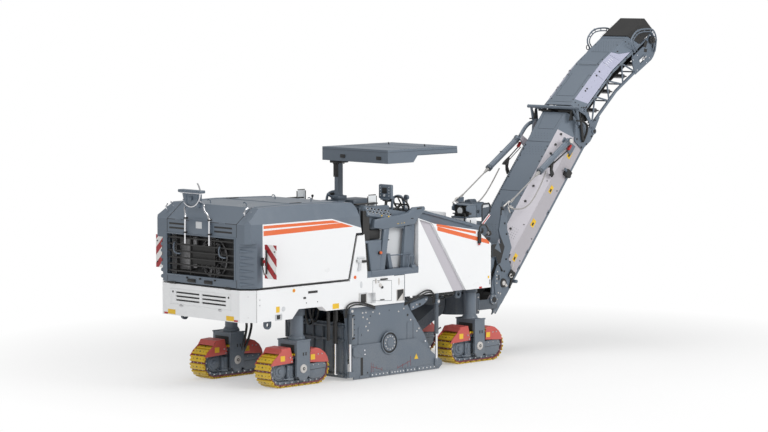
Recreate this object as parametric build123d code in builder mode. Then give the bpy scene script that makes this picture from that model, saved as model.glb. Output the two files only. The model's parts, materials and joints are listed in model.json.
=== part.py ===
from build123d import *
import math
import os

# Compact front-loading cold planer: four steered tracks on lifting columns, a milling drum box
# between the axles, an engine under a tilting hood at the rear, an operator's stand in the
# middle and a slewing, luffing and folding discharge conveyor at the front.
# Millimetres. +X forward (discharge end), +Y to the machine's left, +Z up, ground at z = 0.
# Every "distance" is measured forward from the rear face of the hood.

os.makedirs("parts", exist_ok=True)

# ---------------------------------------------------------------- driving dimensions
overall_length = 11245.0        # rear face of the hood to the front of the conveyor's head
body_half_width = 1170.0        # outside of the side panels

# chassis
frame_bottom = 1185.0
frame_top = 1722.0
frame_front = 2790.0            # the operator's stand starts here
arch_top = 1340.0               # underside of the frame over the rear tracks
frame_wall = 170.0              # side beam thickness
frame_deck = 200.0              # deck plate thickness
bumper_depth = 200.0
bumper_chamfer = 200.0

# hood
wall = 60.0                     # thickness of hood and body panels
hood_bottom = 1755.0
hood_front = 2655.0
hood_top = 3090.0
hood_shoulder = hood_top - 270  # height where the hood's sides turn inwards
hood_top_half_width = body_half_width - 110
cowl_front = 340.0
cowl_top = hood_top - 10
cowl_chamfer = 215.0            # bevel of the cowl's corners below the brow
brow_chamfer = 75.0
brow_bottom = hood_top - 590
grille_low, grille_high = 1890.0, 2570.0
grille_half_width = body_half_width - 330
hood_hinge_distance = 2520.0
hood_hinge_height = hood_top - 165
hinge_pin_radius = 20.0
hinge_y = 620.0                 # side offset of each hood hinge
running_gap = 0.5               # radial clearance of a pin in its bore

# operator's stand
stand_front = 4045.0
stand_base_top = 1745.0
stand_floor = 1855.0
pocket_size = 180.0

# front body
front_bottom = 1350.0
front_face = 5905.0
front_wall_rear = 3700.0        # rear edge of the front body below the stand's floor

# running gear
rear_column = 1443.0
track_trail = 113.0             # the rear tracks' centres lie this far behind their columns
rear_track = rear_column - track_trail
column_setback = 183.0          # front columns behind the front face
front_column = front_face - column_setback
front_track = front_column
gauge_half = body_half_width - 346
track_length = 1400.0
track_height = 566.0
track_width = 370.0
shoe_thickness = 60.0
shoe_count = 24
shoe_gap, shoe_gap_depth = 26.0, 22.0
column_radius = 110.0
column_gap = 0.8
sleeve_wall = 25.0
fork_top = 780.0
fork_plate = 40.0
axle_height = 300.0

# milling unit
drum_distance = 3330.0
drum_height = 580.0
drum_tip_radius = 490.0
drum_shell_radius = 400.0
journal_radius, journal_depth = 90.0, 60.0
box_right, box_left = 40 - body_half_width, 350.0     # outer faces of the fixed side plates
box_plate = 40.0
drum_clearance = 30.0           # between the drum's ends and the box
drum_right, drum_left = box_right + box_plate + drum_clearance, box_left - box_plate - drum_clearance
box_top = 1255.0                # meets the underside of the frame
box_rear, box_front = drum_distance - 910, drum_distance + 970
guide_gap = 0.3                 # sliding pieces stand this far off their guides
edge_plate_gap = 8.0
edge_plate_thickness = 24.0
edge_plate_top = 600.0
ground_clearance = 12.0
ram_offset = 40.0               # axis of a lifting ram beside its side plate
ram_rod_radius, ram_barrel_radius = 22.0, 38.0
ram_low = 640.0                 # lower end of the rams' barrels

# conveyor
slew_distance = front_face + 495
luff_distance, luff_height = slew_distance + 200, 1030.0
lower_angle = 50.6
upper_angle = 41.5
head_angle = 32.0
conveyor_half_width = 520.0
cover_half_width = 300.0
cover_wall = 20.0
conveyor_plate = 20.0
belt_half = 300.0
belt_thickness = 20.0
lower_length = 4030.0
lower_top = 315.0               # top of the lower cover above the luffing axis
lower_shoulder = 70.0           # where the slanted sides meet the upright ones
chord_w = -287.0                # axis of the lower conveyor's chord tubes
chord_radius = 38.0
tube_inset = 3.0                # the tubes lie this far inside the side faces
tail_length = 130.0
open_tail = 450.0               # length of the tail that is open on top
cover_start = 950.0
light_panel_end = lower_length - 390     # the slanted sides are light up to here
fold_ahead = 30.0               # folding axis in front of the lower conveyor's end
bracket_gap = 10.0
bracket_plate = 30.0
fold_pin_radius = 28.0
stay_y = 640.0                  # side offset of the stays and their cylinders


# ---------------------------------------------------------------- helpers
def station(distance):
    """x of a point this far in front of the rear face."""
    return distance - overall_length / 2


def outline(points, y):
    """Closed side-view outline of (distance, height) points, drawn in the plane y."""
    with BuildSketch(Plane(origin=(0, y, 0), x_dir=(1, 0, 0), z_dir=(0, -1, 0))) as drawn:
        with BuildLine():
            Polyline(*[(station(x), z) for x, z in points], close=True)
        make_face()
    return drawn.sketch


def plate(points, y_low, y_high, mode=Mode.ADD):
    """Extrude a side-view outline between two y values."""
    extrude(outline(points, y_high), amount=y_high - y_low, mode=mode)


def plan_outline(points, z):
    """Closed top-view outline of (distance, y) points, drawn at the height z."""
    with BuildSketch(Plane.XY.offset(z)) as drawn:
        with BuildLine():
            Polyline(*[(station(x), y) for x, y in points], close=True)
        make_face()
    return drawn.sketch


def slab(points, z_low, z_high, mode=Mode.ADD):
    """Extrude a top-view outline between two heights."""
    extrude(plan_outline(points, z_low), amount=z_high - z_low, mode=mode)


def block(x, y, z, mode=Mode.ADD):
    """Axis-aligned block between pairs of distances, y values and heights, in any order."""
    with Locations((station(sum(x) / 2), sum(y) / 2, sum(z) / 2)):
        Box(abs(x[1] - x[0]), abs(y[1] - y[0]), abs(z[1] - z[0]), mode=mode)


def across(distance, height, y_low, y_high, radius, mode=Mode.ADD):
    """Cylinder along Y."""
    rod((station(distance), y_low, height), (station(distance), y_high, height), radius, mode)


def upright(distance, y, z_low, z_high, radius, mode=Mode.ADD):
    """Cylinder along Z."""
    rod((station(distance), y, z_low), (station(distance), y, z_high), radius, mode)


def rod(start, end, radius, mode=Mode.ADD):
    """Cylinder between two points of the model."""
    axis = Vector(*end) - Vector(*start)
    with Locations(Plane(origin=start, z_dir=axis)):
        Cylinder(radius, axis.length, align=(Align.CENTER, Align.CENTER, Align.MIN), mode=mode)


def tilted_plane(origin, angle):
    """Plane of a conveyor section seen from its right: x along the belt, y away from the ground."""
    slope = math.radians(angle)
    return Plane(origin=origin, x_dir=(math.cos(slope), 0, math.sin(slope)), z_dir=(0, -1, 0))


def on_belt(plane, u, w=0.0, y=0.0):
    """Model point u along, w above and y beside a conveyor plane's origin."""
    return plane.origin + plane.x_dir * u + plane.y_dir * w + Vector(0, y, 0)


def beside(plane, y):
    """A conveyor plane moved to y."""
    return Plane(origin=on_belt(plane, 0, 0, y), x_dir=plane.x_dir, z_dir=plane.z_dir)


def belt_plate(plane, points, y_low, y_high, mode=Mode.ADD):
    """Extrude a conveyor outline of (u, w) points between two y values, in any order."""
    with BuildSketch(beside(plane, max(y_low, y_high))) as drawn:
        with BuildLine():
            Polyline(*points, close=True)
        make_face()
    extrude(drawn.sketch, amount=abs(y_high - y_low), mode=mode)


def belt_section(plane, u_low, u_high, points, mode=Mode.ADD):
    """Extrude a (y, w) section along a conveyor from u_low to u_high."""
    extrude(section_face(on_belt(plane, u_low), plane.x_dir, points), amount=u_high - u_low, mode=mode)


def section_face(origin, direction, points):
    """Closed outline of (y, height) points in the plane through origin that looks along a direction."""
    with BuildSketch(Plane(origin=origin, x_dir=(0, 1, 0), z_dir=direction)) as drawn:
        with BuildLine():
            Polyline(*points, close=True)
        make_face()
    return drawn.sketch


def belt_rod(plane, start, end, y, radius):
    """Round bar between two (u, w) points of a conveyor plane, beside it at y."""
    rod(on_belt(plane, *start, y), on_belt(plane, *end, y), radius)


def belt_drum(plane, u, w, half, radius):
    """Drum across a conveyor."""
    rod(on_belt(plane, u, w, -half), on_belt(plane, u, w, half), radius)


def save(built, name):
    """Label a finished piece and write its STEP file."""
    built.part.label = name
    export_step(built.part, f"parts/{name}.step")


sides = (("right", -1), ("left", 1))

# ---------------------------------------------------------------- chassis
inner_half = body_half_width - frame_wall
sleeve_radius = column_radius + column_gap + sleeve_wall

with BuildPart() as main_frame:
    plate(
        [
            (bumper_depth, frame_bottom),
            (rear_column - 433, frame_bottom),
            (rear_column - 283, arch_top),
            (rear_column + 267, arch_top),
            (rear_column + 367, box_top),
            (frame_front, box_top),
            (frame_front, frame_top),
            (bumper_depth, frame_top),
        ],
        -body_half_width,
        body_half_width,
    )
    block((400, 2500), (-inner_half, inner_half), (1000, frame_top - frame_deck), mode=Mode.SUBTRACT)
    for _, side in sides:
        upright(rear_column, side * gauge_half, 1000, frame_top, sleeve_radius, mode=Mode.SUBTRACT)
save(main_frame, "main_frame")

slot_rows, slot_pitch, slot_height, slot_depth = 3, 65.0, 30.0, 30.0
slot_near, slot_far = 30.0, 630.0        # side offsets of a cooling slot's ends
with BuildPart() as rear_bumper:
    slab(
        [
            (bumper_depth, -body_half_width),
            (bumper_depth, body_half_width),
            (0, body_half_width - bumper_chamfer),
            (0, -body_half_width + bumper_chamfer),
        ],
        frame_bottom,
        frame_top,
    )
    for row in range(slot_rows):
        height = 1450 + row * slot_pitch
        for _, side in sides:
            block((-10, slot_depth), (side * slot_near, side * slot_far),
                  (height - slot_height / 2, height + slot_height / 2), mode=Mode.SUBTRACT)
save(rear_bumper, "rear_bumper")

with BuildPart() as column_sleeves:
    for column, low, high in ((rear_column, frame_bottom + 5, frame_top), (front_column, 1250.0, 2050.0)):
        for _, side in sides:
            upright(column, side * gauge_half, low, high, sleeve_radius)
            upright(column, side * gauge_half, low, high, column_radius + column_gap, mode=Mode.SUBTRACT)
save(column_sleeves, "column_sleeves")

with BuildPart() as engine_block:
    block((640, 2050), (-420, 420), (frame_top, 2650))
save(engine_block, "engine_block")

with BuildPart() as radiator_pack:
    block((250, 400), (-880, 880), (frame_top, 2640))
save(radiator_pack, "radiator_pack")

eye_radius, eye_bore, eye_plate = 75.0, 35.0, 40.0
eye_y = body_half_width - 130
for name, distance, seat in (("rear", 560.0, frame_bottom), ("front", front_face - 725, front_bottom)):
    with BuildPart() as tie_down_eyes:
        for _, side in sides:
            centre = side * eye_y
            low, high = centre - eye_plate / 2, centre + eye_plate / 2
            block((distance - eye_radius, distance + eye_radius), (low, high), (seat - eye_radius, seat))
            across(distance, seat - eye_radius, low, high, eye_radius)
            across(distance, seat - eye_radius, low - eye_plate, high + eye_plate, eye_bore, mode=Mode.SUBTRACT)
    save(tie_down_eyes, f"tie_down_eyes_{name}")

# ---------------------------------------------------------------- hood
hood_nose_top = hood_top - 35


def hood_cross_section(inset):
    """The hood's (y, z) section in the rear plane, drawn inset by a wall and open below it."""
    low = hood_bottom - (50 if inset else 0)
    half, top_half = body_half_width - inset, hood_top_half_width - inset
    return section_face(
        (station(0), 0, 0),
        (1, 0, 0),
        [(-half, low), (half, low), (half, hood_shoulder), (top_half, hood_top - inset),
         (-top_half, hood_top - inset), (-half, hood_shoulder)],
    )


with BuildPart() as hood_hollow:
    plate(
        [
            (cowl_front - 10, hood_bottom - 40),
            (hood_front + 20, hood_bottom - 40),
            (hood_front + 20, hood_nose_top - wall),
            (2500, hood_nose_top - wall),
            (1300, hood_top - wall),
            (cowl_front - 10, cowl_top - wall),
        ],
        -body_half_width,
        body_half_width,
    )
    extrude(hood_cross_section(wall), amount=3000, mode=Mode.INTERSECT)

with BuildPart() as engine_hood:
    plate(
        [
            (cowl_front, hood_bottom),
            (2330, hood_bottom),
            (2515, 2535),
            (hood_front, 2535),
            (2580, hood_top - 130),
            (2500, hood_nose_top),
            (1300, hood_top),
            (cowl_front, cowl_top),
        ],
        -body_half_width,
        body_half_width,
    )
    extrude(hood_cross_section(0), amount=3000, mode=Mode.INTERSECT)
    add(hood_hollow.part, mode=Mode.SUBTRACT)
    for _, side in sides:
        lug = side * hinge_y
        block((2460, 2560), (lug - 20, lug + 20), (hood_hinge_height - 40, hood_nose_top - wall + 15))
        across(hood_hinge_distance, hood_hinge_height, lug - 30, lug + 30, hinge_pin_radius + running_gap,
               mode=Mode.SUBTRACT)
save(engine_hood, "engine_hood")

inner_bevel = wall * (math.sqrt(2) - 1)      # how far an inset bevel moves along the inset walls
with BuildPart() as cowl_hollow:
    slab(
        [
            (cowl_front + 10, body_half_width - wall),
            (cowl_chamfer + inner_bevel, body_half_width - wall),
            (wall, body_half_width - cowl_chamfer - inner_bevel),
            (wall, cowl_chamfer + inner_bevel - body_half_width),
            (cowl_chamfer + inner_bevel, wall - body_half_width),
            (cowl_front + 10, wall - body_half_width),
        ],
        hood_bottom - 40,
        hood_top,
    )
    plate(
        [(0, hood_bottom - 50), (cowl_front + 20, hood_bottom - 50), (cowl_front + 20, cowl_top - wall),
         (cowl_front, cowl_top - wall), (0, hood_shoulder - wall)],
        -body_half_width,
        body_half_width,
        mode=Mode.INTERSECT,
    )
    extrude(hood_cross_section(wall), amount=3000, mode=Mode.INTERSECT)

with BuildPart() as rear_cowl:
    plate(
        [(0, hood_bottom), (cowl_front, hood_bottom), (cowl_front, cowl_top), (0, hood_shoulder)],
        -body_half_width,
        body_half_width,
    )
    extrude(hood_cross_section(0), amount=3000, mode=Mode.INTERSECT)
    for chamfer, low, high in ((cowl_chamfer, hood_bottom - 10, brow_bottom), (brow_chamfer, brow_bottom, hood_top)):
        for _, side in sides:
            edge = body_half_width - chamfer - 10
            slab([(-10, side * edge), (chamfer + 10, side * (body_half_width + 10)),
                  (-10, side * (body_half_width + 10))], low, high, mode=Mode.SUBTRACT)
    add(cowl_hollow.part, mode=Mode.SUBTRACT)
    block((-10, wall + 10), (-grille_half_width, grille_half_width), (grille_low, grille_high), mode=Mode.SUBTRACT)
save(rear_cowl, "rear_cowl")

louvre_count = 6
badge_half = 320.0
with BuildPart() as rear_grille:
    for index in range(louvre_count):
        height = grille_low + (index + 0.5) * (grille_high - grille_low) / louvre_count
        block((15, 45), (-grille_half_width, grille_half_width), (height - 12, height + 12))
    block((wall + 5, wall + 15), (-badge_half, badge_half), (2080, 2380))
    for _, side in sides:
        strut = side * (badge_half - 20)
        block((45, wall + 5), (strut - 15, strut + 15), (grille_low, grille_high))
save(rear_grille, "rear_grille")

hazard_width, hazard_height, hazard_low = 282.0, 564.0, 1924.0
hazard_gap = 61.0               # between the cowl's side and a warning plate
with BuildPart() as hazard_plates:
    for _, side in sides:
        near = side * (body_half_width + hazard_gap)
        block((329, 335), (near, near + side * hazard_width), (hazard_low, hazard_low + hazard_height))
        block((300, 329), (side * body_half_width, near + side * 60), (2180, 2230))
save(hazard_plates, "hazard_plates")

# ---------------------------------------------------------------- operator's stand
with BuildPart() as station_base:
    block((frame_front, front_wall_rear), (-body_half_width, body_half_width), (box_top, stand_base_top))
    for _, side in sides:
        for low in (2810, 3500):
            block((low, low + pocket_size), (side * (body_half_width - 90), side * (body_half_width + 90)),
                  (1300, 1300 + pocket_size), mode=Mode.SUBTRACT)
save(station_base, "station_base")

panel_front = frame_front - 5
with BuildPart() as side_panels:
    for _, side in sides:
        plate(
            [(2372, frame_top), (panel_front, frame_top), (panel_front, stand_floor + 5), (2720, 2500), (2555, 2500)],
            min(side * (body_half_width - wall), side * body_half_width),
            max(side * (body_half_width - wall), side * body_half_width),
        )
save(side_panels, "side_panels")

with BuildPart() as bulkhead:
    block((2660, 2690), (70 - body_half_width, body_half_width - 70), (frame_top, hood_top - 130))
    for _, side in sides:
        for offset in (-50, 24):
            low = side * hinge_y + offset
            block((2485, 2660), (low, low + 26), (hood_hinge_height - 30, hood_hinge_height + 25))
        across(hood_hinge_distance, hood_hinge_height, side * hinge_y - 50, side * hinge_y + 50, hinge_pin_radius)
save(bulkhead, "bulkhead")

with BuildPart() as operator_floor:
    block((frame_front, stand_front), (-body_half_width, body_half_width), (stand_base_top, stand_floor))
save(operator_floor, "operator_floor")

console_inner, console_outer = 700.0, body_half_width - 80
with BuildPart() as operator_consoles:
    for _, side in sides:
        plate(
            [(2950, 2640), (4000, 2500), (4030, 2790), (2800, 2985), (2770, 2900)],
            min(side * console_inner, side * console_outer),
            max(side * console_inner, side * console_outer),
        )
        block((3000, 3160), (side * (console_inner + 60), side * (console_outer - 90)), (stand_floor, 2640))
save(operator_consoles, "operator_consoles")

pod_thickness = 70.0
with BuildPart() as side_pods:
    for _, side in sides:
        near, far = sorted((side * (body_half_width - pod_thickness), side * body_half_width))
        plate(
            [(2820, stand_floor), (4035, stand_floor), (4000, 2600), (4035, 2720), (4220, 2900), (4080, 2900),
             (3980, 2730), (2960, 2700)],
            near,
            far,
        )
        plate([(3230, 1960), (3740, 1960), (3930, 2560), (3210, 2560)], near - 10, far + 10, mode=Mode.SUBTRACT)
save(side_pods, "side_pods")

wheel_y = -880.0
with BuildPart() as operator_controls:
    rod((station(3640), wheel_y, 2780), (station(3900), wheel_y, 2930), 22)
    with Locations(Plane(origin=(station(3910), wheel_y, 2937), z_dir=(1, 0, 0.65))):
        Torus(165, 16)
        Box(330, 24, 14)
        Box(24, 330, 14)
    rod((station(3600), -780, 2830), (station(3640), -780, 3080), 16)
    block((3600, 3650), (-900, -680), (3070, 3280))
    add(operator_consoles.part, mode=Mode.SUBTRACT)
save(operator_controls, "operator_controls")

with BuildPart() as operator_seats:
    for _, side in sides:
        near, far = side * 180, side * 620
        block((2900, 3360), (near, far), (2360, 2460))
        block((2840, 2930), (near, far), (2460, 2900))
        block((3080, 3180), ((near + far) / 2 - 50, (near + far) / 2 + 50), (stand_floor, 2360))
save(operator_seats, "operator_seats")

# ---------------------------------------------------------------- canopy
post_distance, post_y = 3830.0, 600.0
post_depth, post_width = 60.0, 45.0      # half sizes of the sliding post
with BuildPart() as canopy_column:
    block((post_distance - 90, post_distance + 90), (post_y - 75, post_y + 75), (stand_floor, 3000))
    block((post_distance - post_depth - guide_gap, post_distance + post_depth + guide_gap),
          (post_y - post_width - guide_gap, post_y + post_width + guide_gap), (2100, 3010), mode=Mode.SUBTRACT)
save(canopy_column, "canopy_column")

roof_rear, roof_front, roof_half = 3640.0, 5400.0, 820.0
roof_low, roof_high = 3650.0, 3890.0
with BuildPart() as canopy_roof:
    plate(
        [(roof_rear, roof_low), (4280, roof_low), (4380, roof_low + 115), (roof_front, roof_low + 115),
         (roof_front - 10, roof_high), (roof_rear, roof_high)],
        -roof_half,
        roof_half,
    )
    plate(
        [(roof_rear + wall, roof_low - 10), (4260, roof_low - 10), (4340, roof_high - 100),
         (roof_rear + wall, roof_high - 100)],
        -roof_half + wall,
        roof_half - wall,
        mode=Mode.SUBTRACT,
    )
save(canopy_roof, "canopy_roof")

with BuildPart() as canopy_post:
    block((post_distance - post_depth, post_distance + post_depth), (post_y - post_width, post_y + post_width),
          (2500, roof_high - 100))
save(canopy_post, "canopy_post")

# ---------------------------------------------------------------- front body
groove_depth = 50.0
with BuildPart() as front_body:
    plate(
        [
            (front_wall_rear, front_bottom),
            (front_face, front_bottom),
            (front_face, 2140),
            (front_face - 45, 2170),
            (front_face - 345, 2400),
            (stand_front + 405, 2580),
            (stand_front, 2700),
            (stand_front, stand_base_top),
            (front_wall_rear, stand_base_top),
        ],
        -body_half_width,
        body_half_width,
    )
    for _, side in sides:
        near, far = sorted((side * (body_half_width - groove_depth), side * (body_half_width + 10)))
        plate([(4060, 2680), (4400, 2590), (5260, front_bottom - 5), (4930, front_bottom - 5)], near, far,
              mode=Mode.SUBTRACT)
        upright(front_column, side * gauge_half, front_bottom - 50, 2050, sleeve_radius, mode=Mode.SUBTRACT)
save(front_body, "front_body")

lid_half = body_half_width - 140
lid_rear, lid_front = stand_front + 170, front_face - 100
lid_rear_height, lid_fall = 2840.0, 385.0


def lid_top(distance):
    """Height of the lid's sloping top."""
    return lid_rear_height - (distance - lid_rear) * lid_fall / (lid_front - lid_rear)


with BuildPart() as front_lid:
    plate(
        [(stand_front, 2700), (stand_front + 405, 2580), (front_face - 345, 2400), (lid_front - 5, 2216),
         (lid_front, lid_top(lid_front)), (lid_rear, lid_rear_height), (stand_front, lid_rear_height)],
        -lid_half,
        lid_half,
    )
save(front_lid, "front_lid")

top_box_places = (              # rear end, front end, heights of the top at both, right side, left side
    (lid_front - 805, lid_front - 305, (2740, 2680), -450, 350),
    (lid_front - 285, lid_front - 15, (2830, 2830), -930, -560),
)
with BuildPart() as top_boxes:
    for box_rear_end, box_front_end, heights, near, far in top_box_places:
        plate(
            [(box_rear_end, lid_top(box_rear_end)), (box_front_end, lid_top(box_front_end)),
             (box_front_end, heights[1]), (box_rear_end, heights[0])],
            near,
            far,
        )
save(top_boxes, "top_boxes")

# ---------------------------------------------------------------- slewing mount
slew_low, slew_high = 1620.0, 2080.0
slew_pin_radius = 60.0
with BuildPart() as slew_mount:
    for low, high in ((1430.0, slew_low - 10), (slew_high + 10, 2220.0)):
        block((front_face, slew_distance), (-140, 140), (low, high))
        upright(slew_distance, 0, low, high, 140)
    upright(slew_distance, 0, 1430, 2220, slew_pin_radius)
    upright(slew_distance, 0, 2220, 2510, 70)
    block((slew_distance - 30, slew_distance + 350), (-260, 120), (2510, 2770))
save(slew_mount, "slew_mount")

chute_rear, chute_front = slew_distance - 1000, slew_distance - 770     # the hopper swings past its front
chute_foot = box_front + 60
with BuildPart() as primary_conveyor:
    plate(
        [(chute_foot, 420), (chute_foot + 110, 300), (chute_front - 70, 830), (chute_front, 960),
         (chute_front, 1190), (slew_distance - 120, 1190), (slew_distance - 120, front_bottom - 20),
         (slew_distance - 600, front_bottom), (chute_rear, front_bottom), (chute_rear, 990)],
        -belt_half,
        belt_half,
    )
save(primary_conveyor, "primary_conveyor")

# ---------------------------------------------------------------- milling unit
housing_sides = ((box_right, -1), (box_left, 1))
with BuildPart() as drum_housing:
    block((box_rear, box_front), (box_right + box_plate, box_left - box_plate), (box_top - 60, box_top))
    for near, far in ((box_right, box_right + box_plate), (box_left - box_plate, box_left)):
        plate(
            [(box_rear - 140, box_top), (box_front - 520, box_top), (box_front - 400, 1080), (box_front - 70, 660),
             (box_front + 150, 260), (box_front + 260, 150), (box_rear + 20, 150)],
            near,
            far,
        )
    plate(
        [(box_front - 520, box_top), (box_front - 400, 1080), (box_front - 70, 660), (box_front - 110, 640),
         (box_front - 435, 1060), (box_front - 555, box_top)],
        box_right + box_plate,
        box_left - box_plate,
    )
    across(drum_distance, drum_height, box_right - 5, box_right, 205)
    across(drum_distance, drum_height, box_right + box_plate, drum_right + journal_depth, journal_radius)
    across(drum_distance, drum_height, drum_left - journal_depth, box_left - box_plate, journal_radius)
    for edge, outward in housing_sides:
        for rail in (box_rear + 180, box_front - 500):
            block((rail, rail + 70), (edge, edge + outward * (edge_plate_gap - guide_gap)), (220, 900))
save(drum_housing, "drum_housing")

tool_count, tool_turn = 44, 360 / 11
with BuildPart() as milling_drum:
    across(drum_distance, drum_height, drum_right, drum_left, drum_shell_radius)
    tools = []
    for index in range(tool_count):
        turn = math.radians(index * tool_turn)
        outward = Vector(math.cos(turn), 0, math.sin(turn))
        y = drum_right + 35 + index * (drum_left - drum_right - 70) / (tool_count - 1)
        centre = Vector(station(drum_distance), y, drum_height) + outward * (drum_tip_radius - 60)
        tools.append(Plane(origin=centre, x_dir=outward, z_dir=(0, 1, 0)))
    with Locations(*tools):
        Box(118, 60, 50)
    for low, high in ((drum_right, drum_right + journal_depth + 5), (drum_left - journal_depth - 5, drum_left)):
        across(drum_distance, drum_height, low, high, journal_radius + running_gap, mode=Mode.SUBTRACT)
save(milling_drum, "milling_drum")

with BuildPart() as scraper_blade:
    block((box_rear - 70, box_rear - 30), (box_right + box_plate + guide_gap, box_left - box_plate - guide_gap),
          (40, 985))
save(scraper_blade, "scraper_blade")

rear_ram, front_ram = box_rear - 50, box_front + 200
for name, (wall_y, side) in zip(("right", "left"), housing_sides):
    ram_y = wall_y + side * ram_offset
    with BuildPart() as edge_plate:
        near = wall_y + side * edge_plate_gap
        far = near + side * edge_plate_thickness
        lug_far = ram_y + side * ram_rod_radius
        plate(
            [(box_rear + 50, ground_clearance), (box_front + 270, ground_clearance), (box_front + 360, 80),
             (box_front + 350, 150), (box_front - 300, edge_plate_top), (box_rear + 10, edge_plate_top),
             (box_rear + 10, 160), (box_rear + 50, 160)],
            min(near, far),
            max(near, far),
        )
        block((rear_ram - 40, box_rear + 60), (near, lug_far), (60, 160))
        block((front_ram - 50, front_ram + 50), (near, lug_far), (60, 200))
        for ram in (rear_ram, front_ram):
            upright(ram, ram_y, 100, 900, ram_rod_radius)
    save(edge_plate, f"edge_plate_{name}")

with BuildPart() as plate_rams:
    for wall_y, side in housing_sides:
        ram_y = wall_y + side * ram_offset
        for ram, high in ((rear_ram, box_top), (front_ram, front_bottom)):
            upright(ram, ram_y, ram_low, high, ram_barrel_radius)
            upright(ram, ram_y, ram_low - 10, 1200, ram_rod_radius + running_gap, mode=Mode.SUBTRACT)
save(plate_rams, "plate_rams")

# ---------------------------------------------------------------- tracks
track_units = (
    ("rear_right", rear_track, rear_column, -gauge_half),
    ("rear_left", rear_track, rear_column, gauge_half),
    ("front_right", front_track, front_column, -gauge_half),
    ("front_left", front_track, front_column, gauge_half),
)
wheel_offset = (track_length - track_height) / 2
loop_radius = track_height / 2
track_wheel_radius = loop_radius - shoe_thickness - guide_gap
roller_radius, roller_count = 55.0, 4


def loop_outline(distance, y, inset):
    """Stadium outline of a track, drawn inset from the shoes' outer faces."""
    with BuildSketch(Plane(origin=(station(distance), y, loop_radius), x_dir=(1, 0, 0), z_dir=(0, -1, 0))) as drawn:
        SlotOverall(track_length - 2 * inset, track_height - 2 * inset)
    return drawn.sketch


def loop_place(length):
    """Offset ahead of and above a track's centre, and outward angle, this far round its outside."""
    straight, arc = 2 * wheel_offset, math.pi * loop_radius
    half = straight + arc
    flip = 1 if length < half else -1
    length %= half
    if length < straight:
        return flip * (length - wheel_offset), flip * loop_radius, math.radians(90 * flip)
    turn = math.pi / 2 - (length - straight) / loop_radius
    ahead, above = wheel_offset + loop_radius * math.cos(turn), loop_radius * math.sin(turn)
    return flip * ahead, flip * above, turn if flip > 0 else turn + math.pi


shoe_pitch = 2 * (2 * wheel_offset + math.pi * loop_radius) / shoe_count
for name, centre, column, y in track_units:
    with BuildPart() as track_loop:
        extrude(loop_outline(centre, y + track_width / 2, 0), amount=track_width)
        extrude(loop_outline(centre, y + track_width / 2, shoe_thickness), amount=track_width, mode=Mode.SUBTRACT)
        gaps = []
        for index in range(shoe_count):
            ahead, above, turn = loop_place(index * shoe_pitch)
            gaps.append(Plane(origin=(station(centre) + ahead, y, loop_radius + above),
                              x_dir=(math.cos(turn), 0, math.sin(turn)), z_dir=(0, -1, 0)))
        with Locations(*gaps):
            Box(2 * shoe_gap_depth, shoe_gap, track_width + 20, mode=Mode.SUBTRACT)
    save(track_loop, f"track_loop_{name}")

    fork_rear, fork_front = centre - 105, max(column + 90, centre + 150)
    fork_middle = (fork_rear + fork_front) / 2
    with BuildPart() as track_carrier:
        block((centre - wheel_offset - 60, centre + wheel_offset + 60), (y - 80, y + 80), (150, 430))
        for end in (-1, 1):
            across(centre + end * wheel_offset, loop_radius, y - 90, y + 90, track_wheel_radius)
        for index in range(roller_count):
            ahead = (index - (roller_count - 1) / 2) * 200
            across(centre + ahead, shoe_thickness + guide_gap + roller_radius, y - 85, y + 85, roller_radius)
        fork_inner, fork_outer = track_width / 2 + 5, track_width / 2 + 5 + fork_plate
        block((fork_rear, fork_front), (y - fork_outer, y + fork_outer), (track_height + 12, fork_top))
        for side in (-1, 1):
            block((fork_rear, fork_front), (y + side * fork_inner, y + side * fork_outer), (170, track_height + 12))
        across(fork_middle, axle_height, y - fork_outer, y + fork_outer, 70)
        upright(column, y, fork_top, 1700 if column == rear_column else 1900, column_radius)
    save(track_carrier, f"track_carrier_{name}")

# ---------------------------------------------------------------- slewing bracket and hopper
lower = tilted_plane((station(luff_distance), 0, luff_height), lower_angle)
bracket_inner = conveyor_half_width + bracket_gap
bracket_outer = bracket_inner + bracket_plate
luff_pin_radius = 45.0
anchor_distance, anchor_height = luff_distance + 350, luff_height + 1730
anchor_pin_radius = 24.0

with BuildPart() as slew_bracket:
    upright(slew_distance, 0, slew_low, slew_high, 90)
    slab(
        [(slew_distance, -250), (luff_distance, -bracket_outer), (luff_distance + 100, -bracket_outer),
         (luff_distance + 100, bracket_outer), (luff_distance, bracket_outer), (slew_distance, 250)],
        1800,
        2040,
    )
    upright(slew_distance, 0, slew_low - 20, slew_high + 20, slew_pin_radius + running_gap, mode=Mode.SUBTRACT)
    for _, side in sides:
        near, far = sorted((side * bracket_inner, side * bracket_outer))
        arm = [(0, -280), (80, -90), (-20, 90), (0, 330), (160, 620), (100, 770), (100, 1010), (240, 1010), (180, 1260),
               (290, 1780), (400, 1790), (400, 1260), (520, 910), (430, 720), (520, 540), (480, 180), (260, -90)]
        plate([(luff_distance + x, luff_height + z) for x, z in arm], near, far)
        across(luff_distance, luff_height, near - 5, far + 5, luff_pin_radius + running_gap, mode=Mode.SUBTRACT)
        across(anchor_distance, anchor_height, min(side * bracket_outer, side * (stay_y + 60)),
               max(side * bracket_outer, side * (stay_y + 60)), anchor_pin_radius)
save(slew_bracket, "slew_bracket")

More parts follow.
